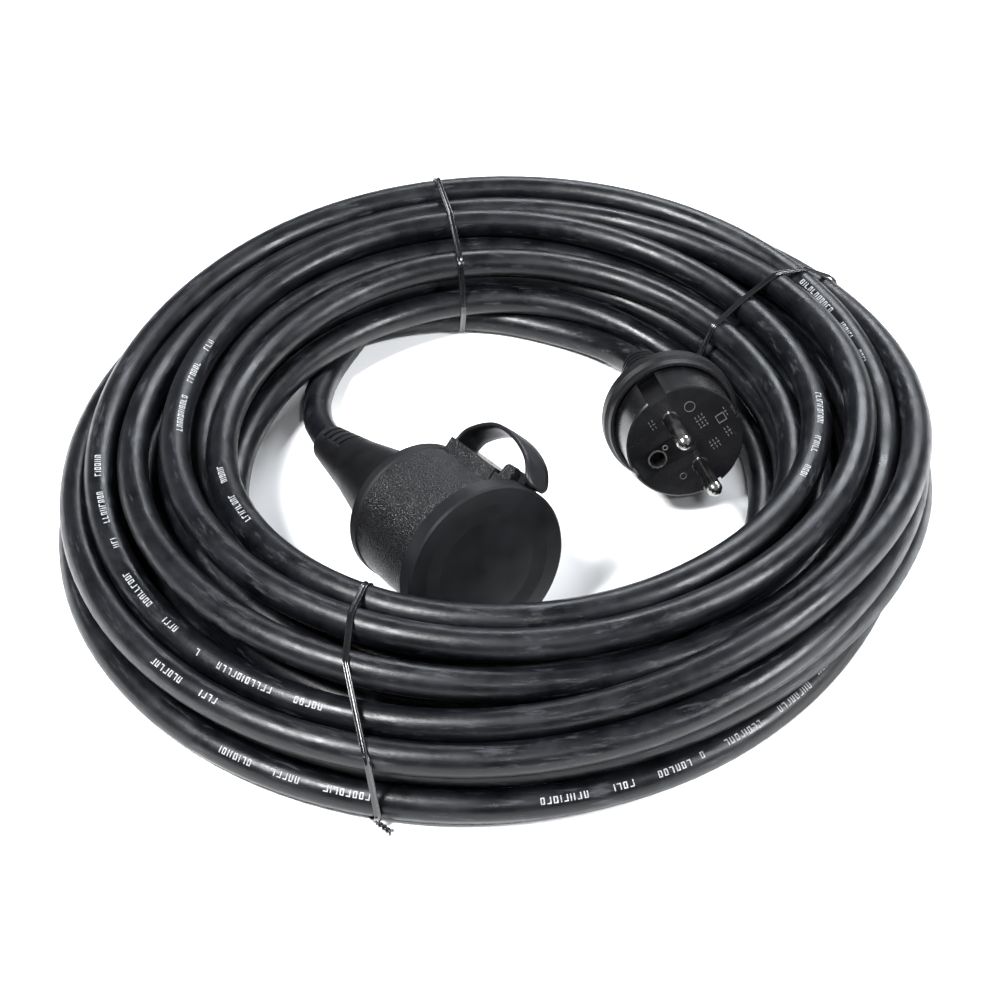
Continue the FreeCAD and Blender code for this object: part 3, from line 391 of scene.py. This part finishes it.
FINISHED_NODES = {
    "moulding_rubber": ["coupler_moulding", "plug_moulding"],
    "barrel_plastic": ["coupler_barrel", "hinge_rail", "hinge_block"],
    "carrier_plastic": ["contact_carrier"],
    "cap_plastic": ["cap"],
    "nose_plastic": ["plug_nose"],
    "contact_brass": ["line_contact_left", "line_contact_right"],
    "earth_spring": ["coupler_earth_contact", "plug_earth_clips", "plug_earth_sleeve"],
    "pin_nickel": ["plug_pin_left", "plug_pin_right"],
    "hinge_steel": ["hinge_pin"],
    "core_brown": ["coupler_core_brown", "plug_core_brown"],
    "core_blue": ["coupler_core_blue", "plug_core_blue"],
    "core_green_yellow": ["coupler_core_earth", "plug_core_earth"],
}


def finish_nodes():
    """Gives each carried-over node its own finish."""
    for finish, nodes in FINISHED_NODES.items():
        for node in nodes:
            materials = NODES[node].data.materials
            if len(materials) == 0:
                materials.append(FINISHES[finish])
            for index in range(len(materials)):
                materials[index] = FINISHES[finish]


# ---------------------------------------------------------------- the cord's route
COUPLER_TAIL = [(-48.3, 1.7, 14.45), (-58.0, 16.4, 11.1), (-62.7, 34.7, 7.6), (-61.4, 53.5, 5.6),
                (-55.2, 71.1, 4.85)]
PLUG_TAIL = [(47.2, 39.8, 15.1), (44.6, 55.5, 10.6), (36.5, 68.5, 7.2), (24.5, 78.5, 5.2)]
FIRST_ANGLE = 114.0                 # degrees; the turns run clockwise from here
LAST_ANGLE = 84.0
BACK_ANGLE = 90.0
FRONT_ANGLE = 270.0

# Radius and height of each turn where it crosses the back and the front, from the first turn to the last.
BACKS = [(97.5, 5), (113, 5), (122, 5), (130, 6), (129.7, 14.1), (131.9, 26.9), (130.8, 31),
         (124.9, 31), (110.6, 27), (102.9, 20), (108, 14), (117.6, 16.3), (116, 13), (96, 13),
         (87.1, 7), (94, 5)]
FRONTS = [(109.5, 5), (119.5, 5), (126.2, 5), (119.6, 13.5), (120, 20), (118.6, 24), (103.5, 31),
          (93.6, 35.5), (84.0, 38.5), (83.0, 24), (93, 20), (103, 18), (117, 12), (90, 13), (87, 5)]

# The coil's outer and inner edge: a radius and its waves, each with its height, its number round the coil and
# the angle of a crest.
OUTER_RADIUS = 139.4
OUTER_WAVES = [(2.3, 1, 92), (10.6, 2, 42), (3.3, 3, 30), (0.9, 4, 39)]
INNER_RADIUS = 77.6
INNER_WAVES = [(1.5, 1, 90), (2.9, 2, 90)]
INNER_SHARE_END = 78.0              # a strand follows the inner edge's waves here, the outer edge's there,
OUTER_SHARE_END = 134.0             # and a mixture in between
SIDE_SPREAD = 13.8                  # the strands fan out this much more at the two sides
SPREAD_CENTRE = 0.55                # the part of the coil's width that stays in place as they do
TIE_ANGLES = [249.0, 101.0, 38.0]
TIE_SQUEEZE = 0.06                  # a tie draws the coil's width in by this share
TIE_REACH = 26.0                    # degrees each side of a tie
CAP_ROOM = (5.0, 249.0, 15.0)       # the inner turns bulge outward beside the cap: how far, angle and reach
COIL_HEIGHT = 40.0
STATIONS = 40                       # points in each turn
RIPPLE = 1.2                        # unevenness of the turns
SEED = 3
LINE_PARTS = 3                      # parts of the cord's line between two of its points
CORD_SIDES = 5                      # the fineness of the cord's round section

# How the strands settle. Parts are shares of all the rounds.
SETTLING_ROUNDS = 1600
SHAPING_EVERY = 4                   # rounds between two steps in which the cord's own stiffness acts
SHAPING_PART = 0.8                  # it acts during this part of the rounds
EVENING = 0.2                       # the share of a bend's unevenness that such a step takes out
STRAIGHTENING = 0.12                # the share of the bend itself, which fades to nothing
SINKING = 0.03                      # how far a strand sinks in such a step
HELD_HEIGHT = 32.0                  # the ties hold up the strands that start above this
SHARING = (4.0, 0.9)                # the points that share a push: a part that fades and one that stays
OVERSHOOT = 1.15                    # a push is made this much larger
TINY = 1e-9                         # keeps a distance of nothing from being divided by
CLOSING_PART = 0.85                 # after this part of the rounds, each point also moves by itself,
CLOSING_SHARE = 0.5                 # by this share of its push
TOP_SHARE = 0.7                     # the share of a height above the coil's top that a round takes back
TAIL_PARTS = 12                     # places looked at in each of a tail's runs
TAIL_REACH = 0.35                   # a tail crosses a station when it passes within this share of a step


def wave(base, waves, angle):
    """A radius with its waves added, at one angle or many."""
    return base + sum(height * np.cos(np.radians(times * (angle - crest))) for height, times, crest in waves)


def coil_limits(angle):
    """The inner and outer radius that the coil keeps to at each angle."""
    outer = wave(OUTER_RADIUS, OUTER_WAVES, angle)
    inner = wave(INNER_RADIUS, INNER_WAVES, angle)
    away = np.min([np.abs((angle - tie + 180.0) % 360.0 - 180.0) for tie in TIE_ANGLES], axis=0)
    draw = np.where(away < TIE_REACH, 0.5 + 0.5 * np.cos(np.pi * away / TIE_REACH), 0.0)
    half = (outer - inner) * (1 - TIE_SQUEEZE * draw) / 2
    middle = (outer + inner) / 2
    bulge, crest, reach = CAP_ROOM
    beside_cap = ((angle - crest + 180.0) % 360.0 - 180.0) / reach
    return middle - half + bulge * np.exp(-beside_cap ** 2), middle + half


def eased(values, turn):
    """Values at the backs and fronts of the turns, half a turn apart, joined smoothly."""
    place = np.clip(2 * (turn - (FIRST_ANGLE - BACK_ANGLE) / 360.0), 0, len(values) - 1)
    before = np.clip(np.floor(place).astype(int), 0, len(values) - 2)
    share = (1 - np.cos(np.pi * (place - before))) / 2
    return values[before] * (1 - share) + values[before + 1] * share


def spread_smoothly(moves, width):
    """Each point's move, shared with its neighbours along the cord."""
    reach = int(3 * width) + 1
    bell = np.exp(-0.5 * (np.arange(-reach, reach + 1) / width) ** 2)
    bell /= bell.sum()
    padded = np.pad(moves, ((reach, reach), (0, 0)), mode="edge")
    return np.stack([np.convolve(padded[:, column], bell, "valid") for column in (0, 1)], axis=1)


def tail_crossings(step):
    """Where the two uncoiled tails lie under the turns: (station, radius, height)."""
    found = []
    for tail in (np.array(COUPLER_TAIL), np.array(PLUG_TAIL)):
        shares = np.linspace(0, 1, TAIL_PARTS)[:, None]
        places = np.concatenate([start + (end - start) * shares for start, end in zip(tail[:-1], tail[1:])])
        angles = np.degrees(np.arctan2(places[:, 1], places[:, 0]))
        for station in range(STATIONS):
            gap = np.abs((angles - (FIRST_ANGLE - step * station) + 180.0) % 360.0 - 180.0)
            nearest = np.argmin(gap)
            if gap[nearest] < step * TAIL_REACH:
                found.append((station, math.hypot(*places[nearest, :2]), places[nearest, 2]))
    return found


def laid_turns(angle, turn):
    """Each point's radius and height before the coil settles."""
    chance = np.random.default_rng(SEED)
    knots = np.array([value for pair in zip(BACKS, FRONTS) for value in pair] + [BACKS[-1]], float)
    round_coil = np.radians(angle)
    radius = eased(knots[:, 0], turn)
    height = eased(knots[:, 1], turn)

    def beside_the_knots(base, waves):
        back, front = wave(base, waves, BACK_ANGLE), wave(base, waves, FRONT_ANGLE)
        return wave(base, waves, angle) - (back + front) / 2 - (back - front) / 2 * np.sin(round_coil)

    share = np.clip((radius - INNER_SHARE_END) / (OUTER_SHARE_END - INNER_SHARE_END), 0, 1)
    radius += share * beside_the_knots(OUTER_RADIUS, OUTER_WAVES)
    radius += (1 - share) * beside_the_knots(INNER_RADIUS, INNER_WAVES)
    radius += np.cos(round_coil) ** 2 * (share - SPREAD_CENTRE) * SIDE_SPREAD
    radius += RIPPLE * eased(chance.normal(0, 1, (len(knots), 2))[:, 0], turn)
    return np.stack([radius, height], axis=1)


def strands_at_stations(points, step):
    """The points with the tails' crossings added, and a table of the strands that pass each station."""
    count = len(points)
    members = [list(np.where(np.arange(count) % STATIONS == station)[0]) for station in range(STATIONS)]
    for station, reach, level in tail_crossings(step):
        members[station].append(len(points))
        points = np.vstack([points, [reach, level]])
    widest = max(len(group) for group in members)
    table = np.array([group + [-1] * (widest - len(group)) for group in members])
    real = table >= 0
    return points, np.where(real, table, 0), real


def pushes(points, table, real):
    """How far each point has to move so that no strand lies in another at its station."""
    pairs = real[:, :, None] & real[:, None, :] & ~np.eye(table.shape[1], dtype=bool)
    placed = points[table]
    between = placed[:, :, None, :] - placed[:, None, :, :]
    distance = np.sqrt((between ** 2).sum(axis=-1)) + TINY
    overlap = np.where(pairs, np.maximum(2 * CORD_RADIUS - distance, 0), 0)
    push = (between / distance[..., None] * overlap[..., None] * 0.5).sum(axis=2)
    moves = np.zeros_like(points)
    np.add.at(moves, table[real], push[real])
    return moves


def wind_coil():
    """The coil's turns, settled until no strand lies in another. Returns points in millimetres."""
    step = 360.0 / STATIONS
    count = int(round((len(FRONTS) * 360.0 + FIRST_ANGLE - LAST_ANGLE) / step)) + 1
    angle = FIRST_ANGLE - step * np.arange(count)
    points = laid_turns(angle, (FIRST_ANGLE - angle) / 360.0)
    sinking = np.where(points[:, 1] > HELD_HEIGHT, 0.0, SINKING)
    points, table, real = strands_at_stations(points, step)
    first = np.array([math.hypot(*COUPLER_TAIL[-1][:2]), COUPLER_TAIL[-1][2]])
    last = np.array([math.hypot(*PLUG_TAIL[-1][:2]), PLUG_TAIL[-1][2]])
    inner, outer = coil_limits(angle)
    inner, outer = inner + CORD_RADIUS, outer - CORD_RADIUS
    top = COIL_HEIGHT - CORD_RADIUS

    for settling_round in range(SETTLING_ROUNDS):
        done = settling_round / SETTLING_ROUNDS
        if settling_round % SHAPING_EVERY == 0 and done < SHAPING_PART:
            line = np.vstack([first, points[:count], last])
            slack = (line[:-2] + line[2:]) / 2 - line[1:-1]
            uneven = np.zeros_like(slack)
            uneven[1:-1] = slack[1:-1] - (slack[:-2] + slack[2:]) / 2
            points[:count] += EVENING * uneven + STRAIGHTENING * slack * (1 - done)
            points[:count, 1] -= sinking
        moves = pushes(points, table, real)[:count]
        moves[:, 0] += np.maximum(inner - points[:count, 0], 0) - np.maximum(points[:count, 0] - outer, 0)
        moves[:, 1] += np.maximum(CORD_RADIUS - points[:count, 1], 0)
        moves[:, 1] -= np.maximum(points[:count, 1] - top, 0) * TOP_SHARE
        points[:count] += spread_smoothly(moves, SHARING[0] * (1 - done) + SHARING[1]) * OVERSHOOT
        if done > CLOSING_PART:
            points[:count] += moves * CLOSING_SHARE
        points[:count, 1] = np.maximum(points[:count, 1], CORD_RADIUS)

    radius, height = points[:count, 0], points[:count, 1]
    round_coil = np.radians(angle)
    return np.stack([radius * np.cos(round_coil), radius * np.sin(round_coil), height], axis=1)


def make_cord():
    """One open spline through the tail at the coupler, the turns and the tail at the plug."""
    turns = wind_coil()
    route = [*COUPLER_TAIL, *turns.tolist(), *reversed(PLUG_TAIL)]
    curve = bpy.data.curves.new("cord", "CURVE")
    curve.dimensions = "3D"
    spline = curve.splines.new("NURBS")
    spline.points.add(len(route) - 1)
    for point, place in zip(spline.points, route):
        point.co = (place[0] * MM, place[1] * MM, place[2] * MM, 1.0)
    spline.order_u = 3
    spline.use_endpoint_u = True
    spline.resolution_u = LINE_PARTS
    cord = bpy.data.objects.new("cord", curve)
    bpy.context.collection.objects.link(cord)
    line = read_line(cord)
    curve.bevel_depth = CORD_RADIUS * MM
    curve.bevel_resolution = CORD_SIDES
    curve.use_fill_caps = True
    curve.materials.append(JACKET)
    return cord, line, turns


def read_line(cord):
    """The spline's own points, in metres."""
    mesh = bpy.data.meshes.new_from_object(cord)
    line = np.array([tuple(vertex.co) for vertex in mesh.vertices])
    bpy.data.meshes.remove(mesh)
    return line


# ---------------------------------------------------------------- shared mesh helpers
def mesh_piece(name, vertices, faces, finish, body, smooth=True):
    """A mesh object from vertices in metres, with its normals made consistent."""
    mesh = bpy.data.meshes.new(name)
    build = bmesh.new()
    corners = [build.verts.new(vertex) for vertex in vertices]
    for face in faces:
        build.faces.new([corners[index] for index in face])
    bmesh.ops.recalc_face_normals(build, faces=build.faces)
    build.to_mesh(mesh)
    build.free()
    for polygon in mesh.polygons:
        polygon.use_smooth = smooth
    mesh.materials.append(finish)
    piece = bpy.data.objects.new(name, mesh)
    bpy.context.collection.objects.link(piece)
    if body:
        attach(piece, body)
    return piece


def skin(rings, closed_along, closed_round=True):
    """Faces between rings of vertices that all have the same count."""
    count = len(rings[0])
    faces = []
    last = len(rings) if closed_along else len(rings) - 1
    sides = count if closed_round else count - 1
    for ring in range(last):
        following = (ring + 1) % len(rings)
        for side in range(sides):
            beside = (side + 1) % count
            faces.append((ring * count + side, ring * count + beside, following * count + beside,
                          following * count + side))
    if not closed_along and closed_round:
        faces.append(tuple(range(count)))
        faces.append(tuple(range((len(rings) - 1) * count, len(rings) * count)))
    return faces


def placed_frame(face, yaw, pitch, roll, length):
    """A fitting's own frame: x runs along its axis, from its cord end to its face."""
    turn = Euler((math.radians(roll), math.radians(pitch), math.radians(yaw)), "XYZ").to_matrix()
    origin = Vector(face) - turn @ Vector((length, 0, 0))
    return Matrix.Translation(origin * MM) @ turn.to_4x4() @ Matrix.Scale(MM, 4)


COUPLER = placed_frame((-5.5, -63.0, 29.25), -56.5, -10.8, -47.0, 93.0)
PLUG = placed_frame((55.0, -4.0, 27.0), -79.9, -15.0, -60.7, 60.0)


# ---------------------------------------------------------------- ties
# Each tie's piece, node, angle and slant in degrees. Last is where its twisted ends point: along the coil,
# outward and up.
TIES = [
    ("tie_front_band", "tie_front", 243.5, 11.0, (0.9, 0.35, -0.15)),
    ("tie_back_left_band", "tie_back_left", 100.0, 1.0, (0.8, 0.4, 0.1)),
    ("tie_back_right_band", "tie_back_right", 40.5, -3.5, (0.6, 0.6, 0.2)),
]
BAND_SECTION = [(-0.95, 0.0), (-1.0, 0.30), (-0.84, 0.66), (-0.58, 0.56), (-0.32, 0.36), (0.0, 0.30),
                (0.32, 0.36), (0.58, 0.56), (0.84, 0.66), (1.0, 0.30), (0.95, 0.0)]     # across, outward
BAND_GAP = 0.12                     # between the band and the strands
BAND_STEP = 4                       # degrees between two sections of the band
BAND_LOWEST = 0.15                  # the band's base stays above this height,
BAND_FLAT = 0.2                     # and below this one the band has no thickness
SLANT_START = 80.0                  # the slant grows from this radius,
SLANT_REACH = 55.0                  # and is whole this much further out
TWIST_OUT = 0.9                     # the twisted ends start this far outside the band's outermost place,
TWIST_DROP = 2.0                    # and this far below it,
TWIST_LOWEST = 3.0                  # but not below this height
TWIST_LENGTH = 5.0
TWIST_TURNS = 2.0
TWIST_THICKNESS = 0.50              # half the width of one end
TWIST_SPREAD = 0.42                 # from the twist's middle to each end's
TWIST_OPENING = 0.7                 # the ends part beyond this share of the length
TWIST_PARTING = 3.0
TWIST_STEPS = 40
TWIST_SIDES = 8
TWIST_PINCH = 0.8                   # flattens each end a little on two sides


def tie_angle(angle, skew, radius):
    """A tie runs a little aslant, more so towards the outside of the coil."""
    return angle + skew * max(0.0, (radius - SLANT_START) / SLANT_REACH) ** 2


def tied_strands(turns, angle, skew):
    """Radius and height of each strand's centre where a tie passes."""
    step = 360.0 / STATIONS
    radii = np.hypot(turns[:, 0], turns[:, 1])
    centres = []
    for index in range(len(turns) - 1):
        here = FIRST_ANGLE - step * index
        radius = (radii[index] + radii[index + 1]) / 2
        ahead = (here - tie_angle(angle, skew, radius)) % 360.0 / step
        if ahead < 1.0:
            radius = radii[index] * (1 - ahead) + radii[index + 1] * ahead
            level = turns[index, 2] * (1 - ahead) + turns[index + 1, 2] * ahead
            centres.append((radius, level))
    return centres


def directions_at(angle, skew, radius):
    """Outward and along the coil, where a tie passes a radius."""
    turn = math.radians(tie_angle(angle, skew, radius))
    return Vector((math.cos(turn), math.sin(turn), 0.0)), Vector((-math.sin(turn), math.cos(turn), 0.0))


def make_tie(name, node, angle, skew, tail, turns):
    """A flat ribbed band drawn tight round the strands, its two ends twisted together outside."""
    centres = tied_strands(turns, angle, skew)
    clearance = CORD_RADIUS + BAND_GAP
    loop = []
    for degrees in range(0, 360, BAND_STEP):
        normal = (math.cos(math.radians(degrees)), math.sin(math.radians(degrees)))
        best = max(centres, key=lambda centre: centre[0] * normal[0] + centre[1] * normal[1])
        height = max(best[1] + clearance * normal[1], BAND_LOWEST)
        loop.append((best[0] + clearance * normal[0], height, normal))
    rings = []
    for radius, level, normal in loop:
        out, along = directions_at(angle, skew, radius)
        base = out * radius + Vector((0, 0, level))
        lift = out * normal[0] + Vector((0, 0, normal[1]))
        rings.append([(base + along * across + lift * (outward if level > BAND_FLAT else 0.0)) * MM
                      for across, outward in BAND_SECTION])
    vertices = [corner for ring in rings for corner in ring]
    band = mesh_piece(name, vertices, skin(rings, True), FINISHES["tie_plastic"], "cord")
    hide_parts(node)

    edge = max(loop, key=lambda place: place[0])
    out, along = directions_at(angle, skew, edge[0])
    start = out * (edge[0] + TWIST_OUT) + Vector((0, 0, max(edge[1] - TWIST_DROP, TWIST_LOWEST)))
    direction = (along * tail[0] + out * tail[1] + Vector((0, 0, tail[2]))).normalized()
    make_twist(name + "_twist", start, direction)


def make_twist(name, start, direction):
    """A band's two ends, twisted round each other, ending in two short points."""
    side = direction.cross(Vector((0, 0, 1))).normalized()
    up = side.cross(direction)
    vertices, faces = [], []
    for strand in (0.0, math.pi):
        rings = []
        for index in range(TWIST_STEPS + 1):
            share = index / TWIST_STEPS
            phase = strand + share * TWIST_TURNS * 2 * math.pi
            offset = TWIST_SPREAD * (1 + TWIST_PARTING * max(0.0, share - TWIST_OPENING))
            middle = start + direction * (share * TWIST_LENGTH)
            centre = middle + (side * math.cos(phase) + up * math.sin(phase)) * offset
            ring = []
            for corner in range(TWIST_SIDES):
                around = 2 * math.pi * corner / TWIST_SIDES
                spoke = (side * math.cos(phase + around) + up * math.sin(phase + around)) * TWIST_THICKNESS
                ring.append((centre + spoke * (1.0 if corner % 4 else TWIST_PINCH)) * MM)
            rings.append(ring)
        base = len(vertices)
        vertices += [corner for ring in rings for corner in ring]
        faces += [tuple(base + index for index in face) for face in skin(rings, False)]
    piece = mesh_piece(name, vertices, faces, FINISHES["tie_plastic"], "cord")


# ---------------------------------------------------------------- the cap's strap
STRAP_LINE = [(55.9, 23.4), (58.0, 29.6), (66.5, 35.2), (76.5, 35.6), (86.0, 32.6), (92.2, 26.7)]
STRAP_SECTION = [(-4.9, 0.30), (-4.6, 0.62), (-2.5, 0.72), (0.0, 0.75), (2.5, 0.72), (4.6, 0.62), (4.9, 0.30),
                 (4.9, -0.30), (4.6, -0.62), (2.5, -0.70), (0.0, -0.72), (-2.5, -0.70), (-4.6, -0.62),
                 (-4.9, -0.30)]         # across, upward
STRAP_TIP = [0.62, 0.82, 0.93, 0.98]    # the width's share at the cap's end, from the end backward
STRAP_PARTS = 9                     # sections between two points of the line


def smooth_line(points, parts):
    """A smooth line through points, by Catmull and Rom's rule."""
    ends = [points[0] * 2 - points[1], *points, points[-1] * 2 - points[-2]]
    line = []
    for before, start, end, after in zip(ends, ends[1:], ends[2:], ends[3:]):
        for part in range(parts):
            share = part / parts
            line.append(0.5 * (start * 2 + (end - before) * share
                               + (before * 2 - start * 5 + end * 4 - after) * share ** 2
                               + (start * 3 - before - end * 3 + after) * share ** 3))
    line.append(points[-1])
    return line


def make_strap():
    """The soft strap that arches from the rail to the cap; the real strap bends when the cap opens, but this one
    keeps one fixed shape.
    """
    line = smooth_line([Vector((station, 0.0, height)) for station, height in STRAP_LINE], STRAP_PARTS)
    rings = []
    for index, place in enumerate(line):
        ahead = line[min(index + 1, len(line) - 1)] - line[max(index - 1, 0)]
        ahead.normalize()
        upward = Vector((-ahead.z, 0.0, ahead.x))
        from_end = len(line) - 1 - index
        width = STRAP_TIP[from_end] if from_end < len(STRAP_TIP) else 1.0
        rings.append([COUPLER @ (place + Vector((0.0, across * width, 0.0)) + upward * outward)
                      for across, outward in STRAP_SECTION])
    vertices = [corner for ring in rings for corner in ring]
    strap = mesh_piece("cap_strap_soft", vertices, skin(rings, False), FINISHES["cap_plastic"], None)
    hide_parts("cap_strap")
    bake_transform(strap)


# ---------------------------------------------------------------- raised marks on the plug's face
FACE_STATION = 60.0
MARK_RISE = 0.22
MARK_SINK = 0.10
# Middle, radius or side, and width of each ring and of the square. Then the bars: the first one's place, and
# how many stand beside and below each other.
RING_MARKS = [((-9.7, 7.0), 1.75, 0.22), ((-2.25, -6.1), 0.85, 0.24), ((9.6, -6.2), 1.1, 0.20)]
RING_CORNERS = 28
SQUARE_MARK = ((-0.6, 13.2), 2.9, 0.26)
BAR_GROUPS = [((-5.2, 8.8), 4, 3), ((-12.4, -5.0), 3, 2), ((4.6, 8.6), 3, 3), ((3.4, 13.4), 3, 2),
              ((-3.0, 15.4), 3, 1)]
BAR_PITCH = (1.25, 1.15)
BAR_SIZES = [(0.75, 0.30), (0.30, 0.80), (0.80, 0.24), (0.46, 0.46)]


def face_slab(outline_out, outline_in=None):
    """A thin slab standing on the plug's face: a filled outline, or the band between two outlines."""
    low, high = FACE_STATION - MARK_SINK, FACE_STATION + MARK_RISE
    count = len(outline_out)
    vertices = [PLUG @ Vector((low, *corner)) for corner in outline_out]
    vertices += [PLUG @ Vector((high, *corner)) for corner in outline_out]
    faces = [(side, (side + 1) % count, count + (side + 1) % count, count + side) for side in range(count)]
    if outline_in is None:
        faces += [tuple(range(count)), tuple(range(count, 2 * count))]
        return vertices, faces
    vertices += [PLUG @ Vector((low, *corner)) for corner in outline_in]
    vertices += [PLUG @ Vector((high, *corner)) for corner in outline_in]
    for side in range(count):
        beside = (side + 1) % count
        faces.append((2 * count + side, 2 * count + beside, 3 * count + beside, 3 * count + side))
        faces.append((count + side, count + beside, 3 * count + beside, 3 * count + side))
        faces.append((side, beside, 2 * count + beside, 2 * count + side))
    return vertices, faces


def polygon_round(centre, radius, count, start=0.0):
    """The corners of a regular outline."""
    return [(centre[0] + radius * math.cos(start + 2 * math.pi * corner / count),
             centre[1] + radius * math.sin(start + 2 * math.pi * corner / count)) for corner in range(count)]


def make_face_marks():
    """Generic raised rings, a square and small bars, moulded on the plug's face, in a paler colour that is a
    painted glint.
    """
    slabs = [face_slab(polygon_round(centre, radius, RING_CORNERS),
                       polygon_round(centre, radius - width, RING_CORNERS))
             for centre, radius, width in RING_MARKS]
    centre, size, width = SQUARE_MARK
    diagonal = size / math.sqrt(2)
    slabs.append(face_slab(polygon_round(centre, diagonal, 4, math.pi / 4),
                           polygon_round(centre, diagonal - width * math.sqrt(2), 4, math.pi / 4)))
    for (first_y, first_z), columns, rows in BAR_GROUPS:
        for row in range(rows):
            for column in range(columns):
                half_y, half_z = (side / 2 for side in BAR_SIZES[(2 * row + column) % len(BAR_SIZES)])
                y = first_y + column * BAR_PITCH[0]
                z = first_z - row * BAR_PITCH[1]
                slabs.append(face_slab([(y - half_y, z - half_z), (y + half_y, z - half_z),
                                        (y + half_y, z + half_z), (y - half_y, z + half_z)]))
    vertices, faces = [], []
    for slab_vertices, slab_faces in slabs:
        faces += [tuple(len(vertices) + index for index in face) for face in slab_faces]
        vertices += slab_vertices
    marks = mesh_piece("plug_face_marks", vertices, faces, FINISHES["raised_marks_painted_glint"], "cord", smooth=False)
    return marks


# ---------------------------------------------------------------- the cord's print
# Each mark is a few strokes: its start along the cord, its length, its middle across the cord, and its width.
POST = [(0.0, 0.32, 0.0, 1.9)]
FAR_POST = (0.83, 0.32, 0.0, 1.9)
FOOT = (0.0, 1.15, -0.79, 0.32)
CROWN = (0.0, 1.15, 0.79, 0.32)
PRINT_MARKS = [POST, POST + [FOOT], POST + [FAR_POST, FOOT], POST + [FAR_POST, FOOT, CROWN], POST + [CROWN]]
PRINT_GAP = 0.62
PRINT_WORDS = [8, 5, 11, 6, 4, 9]    # marks in each group
PRINT_WORD_GAP = 6.5
PRINT_RISE = 0.05
PRINT_SINK = 0.12
PRINT_START = 1.0                   # left free at a row's start,
PRINT_END = 3.0                     # and at its end
PRINT_SLICES = 4                    # flat parts across a stroke
PRINT_AHEAD = 1.0                   # the cord's direction is taken over this length
# Turn, first angle, last angle, and how far the row lies round the cord from its top, in degrees.
PRINT_ROWS = [
    (5, -157, -178, 1), (7, -178, -208, 25), (8, -149, -170, -13), (5, -139, -157, -19), (5, -116, -137, -36),
    (4, -128, -139, -29), (2, -106, -127, -36), (3, -88, -103, -41), (2, -68, -88, -38), (2, -46, -68, -31),
    (2, -26, -46, -18), (6, 34, 10, 32), (8, 4, -26, -8), (7, 98, 94, 56),
]


def line_at(turn, angle):
    """The index in the cord's line where a turn passes an angle."""
    station = turn * STATIONS + (FIRST_ANGLE - angle) / 360.0 * STATIONS
    return int(round((len(COUPLER_TAIL) + station - 0.5) * LINE_PARTS))


def stroke_faces(base):
    """The faces of one stroke, whose four rows of vertices start at base."""
    row = PRINT_SLICES + 1
    faces = []
    for part in range(PRINT_SLICES):
        for first, second in ((0, 1), (2, 3), (0, 2), (1, 3)):
            faces.append((base + first * row + part, base + first * row + part + 1,
                          base + second * row + part + 1, base + second * row + part))
    for corner in (0, PRINT_SLICES):
        faces.append(tuple(base + place * row + corner for place in (0, 1, 3, 2)))
    return faces


def make_print_row(name, line, first, last, roll, chance):
    """A row of thin white strokes on the cord's surface, which stands for its print."""
    reach = line[first:last + 1] / MM
    steps = np.linalg.norm(np.diff(reach, axis=0), axis=1)
    travelled = np.concatenate([[0.0], np.cumsum(steps)])

    def centre(distance):
        return Vector([float(np.interp(distance, travelled, reach[:, axis])) for axis in range(3)])

    def surface(distance, across, height):
        place = centre(distance)
        ahead = centre(distance + PRINT_AHEAD) - place
        ahead.normalize()
        upward = Vector((0, 0, 1)) - ahead * ahead.z
        upward.normalize()
        side = ahead.cross(upward)
        turn = math.radians(roll) + across / CORD_RADIUS
        return (place + (upward * math.cos(turn) + side * math.sin(turn)) * (CORD_RADIUS + height)) * MM

    vertices, faces = [], []
    travel, word, mark = PRINT_START, int(chance.integers(len(PRINT_WORDS))), 0
    while travel < travelled[-1] - PRINT_END:
        strokes = PRINT_MARKS[int(chance.integers(len(PRINT_MARKS)))]
        for begin, along, middle, across in strokes:
            faces += stroke_faces(len(vertices))
            for height in (-PRINT_SINK, PRINT_RISE):
                for end in (travel + begin, travel + begin + along):
                    for part in range(PRINT_SLICES + 1):
                        vertices.append(surface(end, middle + across * (part / PRINT_SLICES - 0.5), height))
        travel += max(begin + along for begin, along, _, _ in strokes) + PRINT_GAP
        mark += 1
        if mark >= PRINT_WORDS[word]:
            word, mark = (word + 1) % len(PRINT_WORDS), 0
            travel += PRINT_WORD_GAP
    row_piece = mesh_piece(name, vertices, faces, PRINT, "cord", smooth=False)
    return row_piece


def make_print(line):
    """All the rows of print that show."""
    chance = np.random.default_rng(SEED)
    rows = []
    for index, (turn, start, end, roll) in enumerate(PRINT_ROWS):
        name = "cord_print_%02d" % index
        rows.append(make_print_row(name, line, line_at(turn, start), line_at(turn, end), roll, chance))
    return rows


# ---------------------------------------------------------------- build everything
make_camera()
make_studio()
finish_nodes()
cord, cord_line, coil_turns = make_cord()
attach(cord, "cord")
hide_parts("cord_coil", "cord_to_coupler", "cord_to_plug")
for tie in TIES:
    make_tie(*tie, coil_turns)
make_strap()
face_marks = make_face_marks()
print_rows = make_print(cord_line)
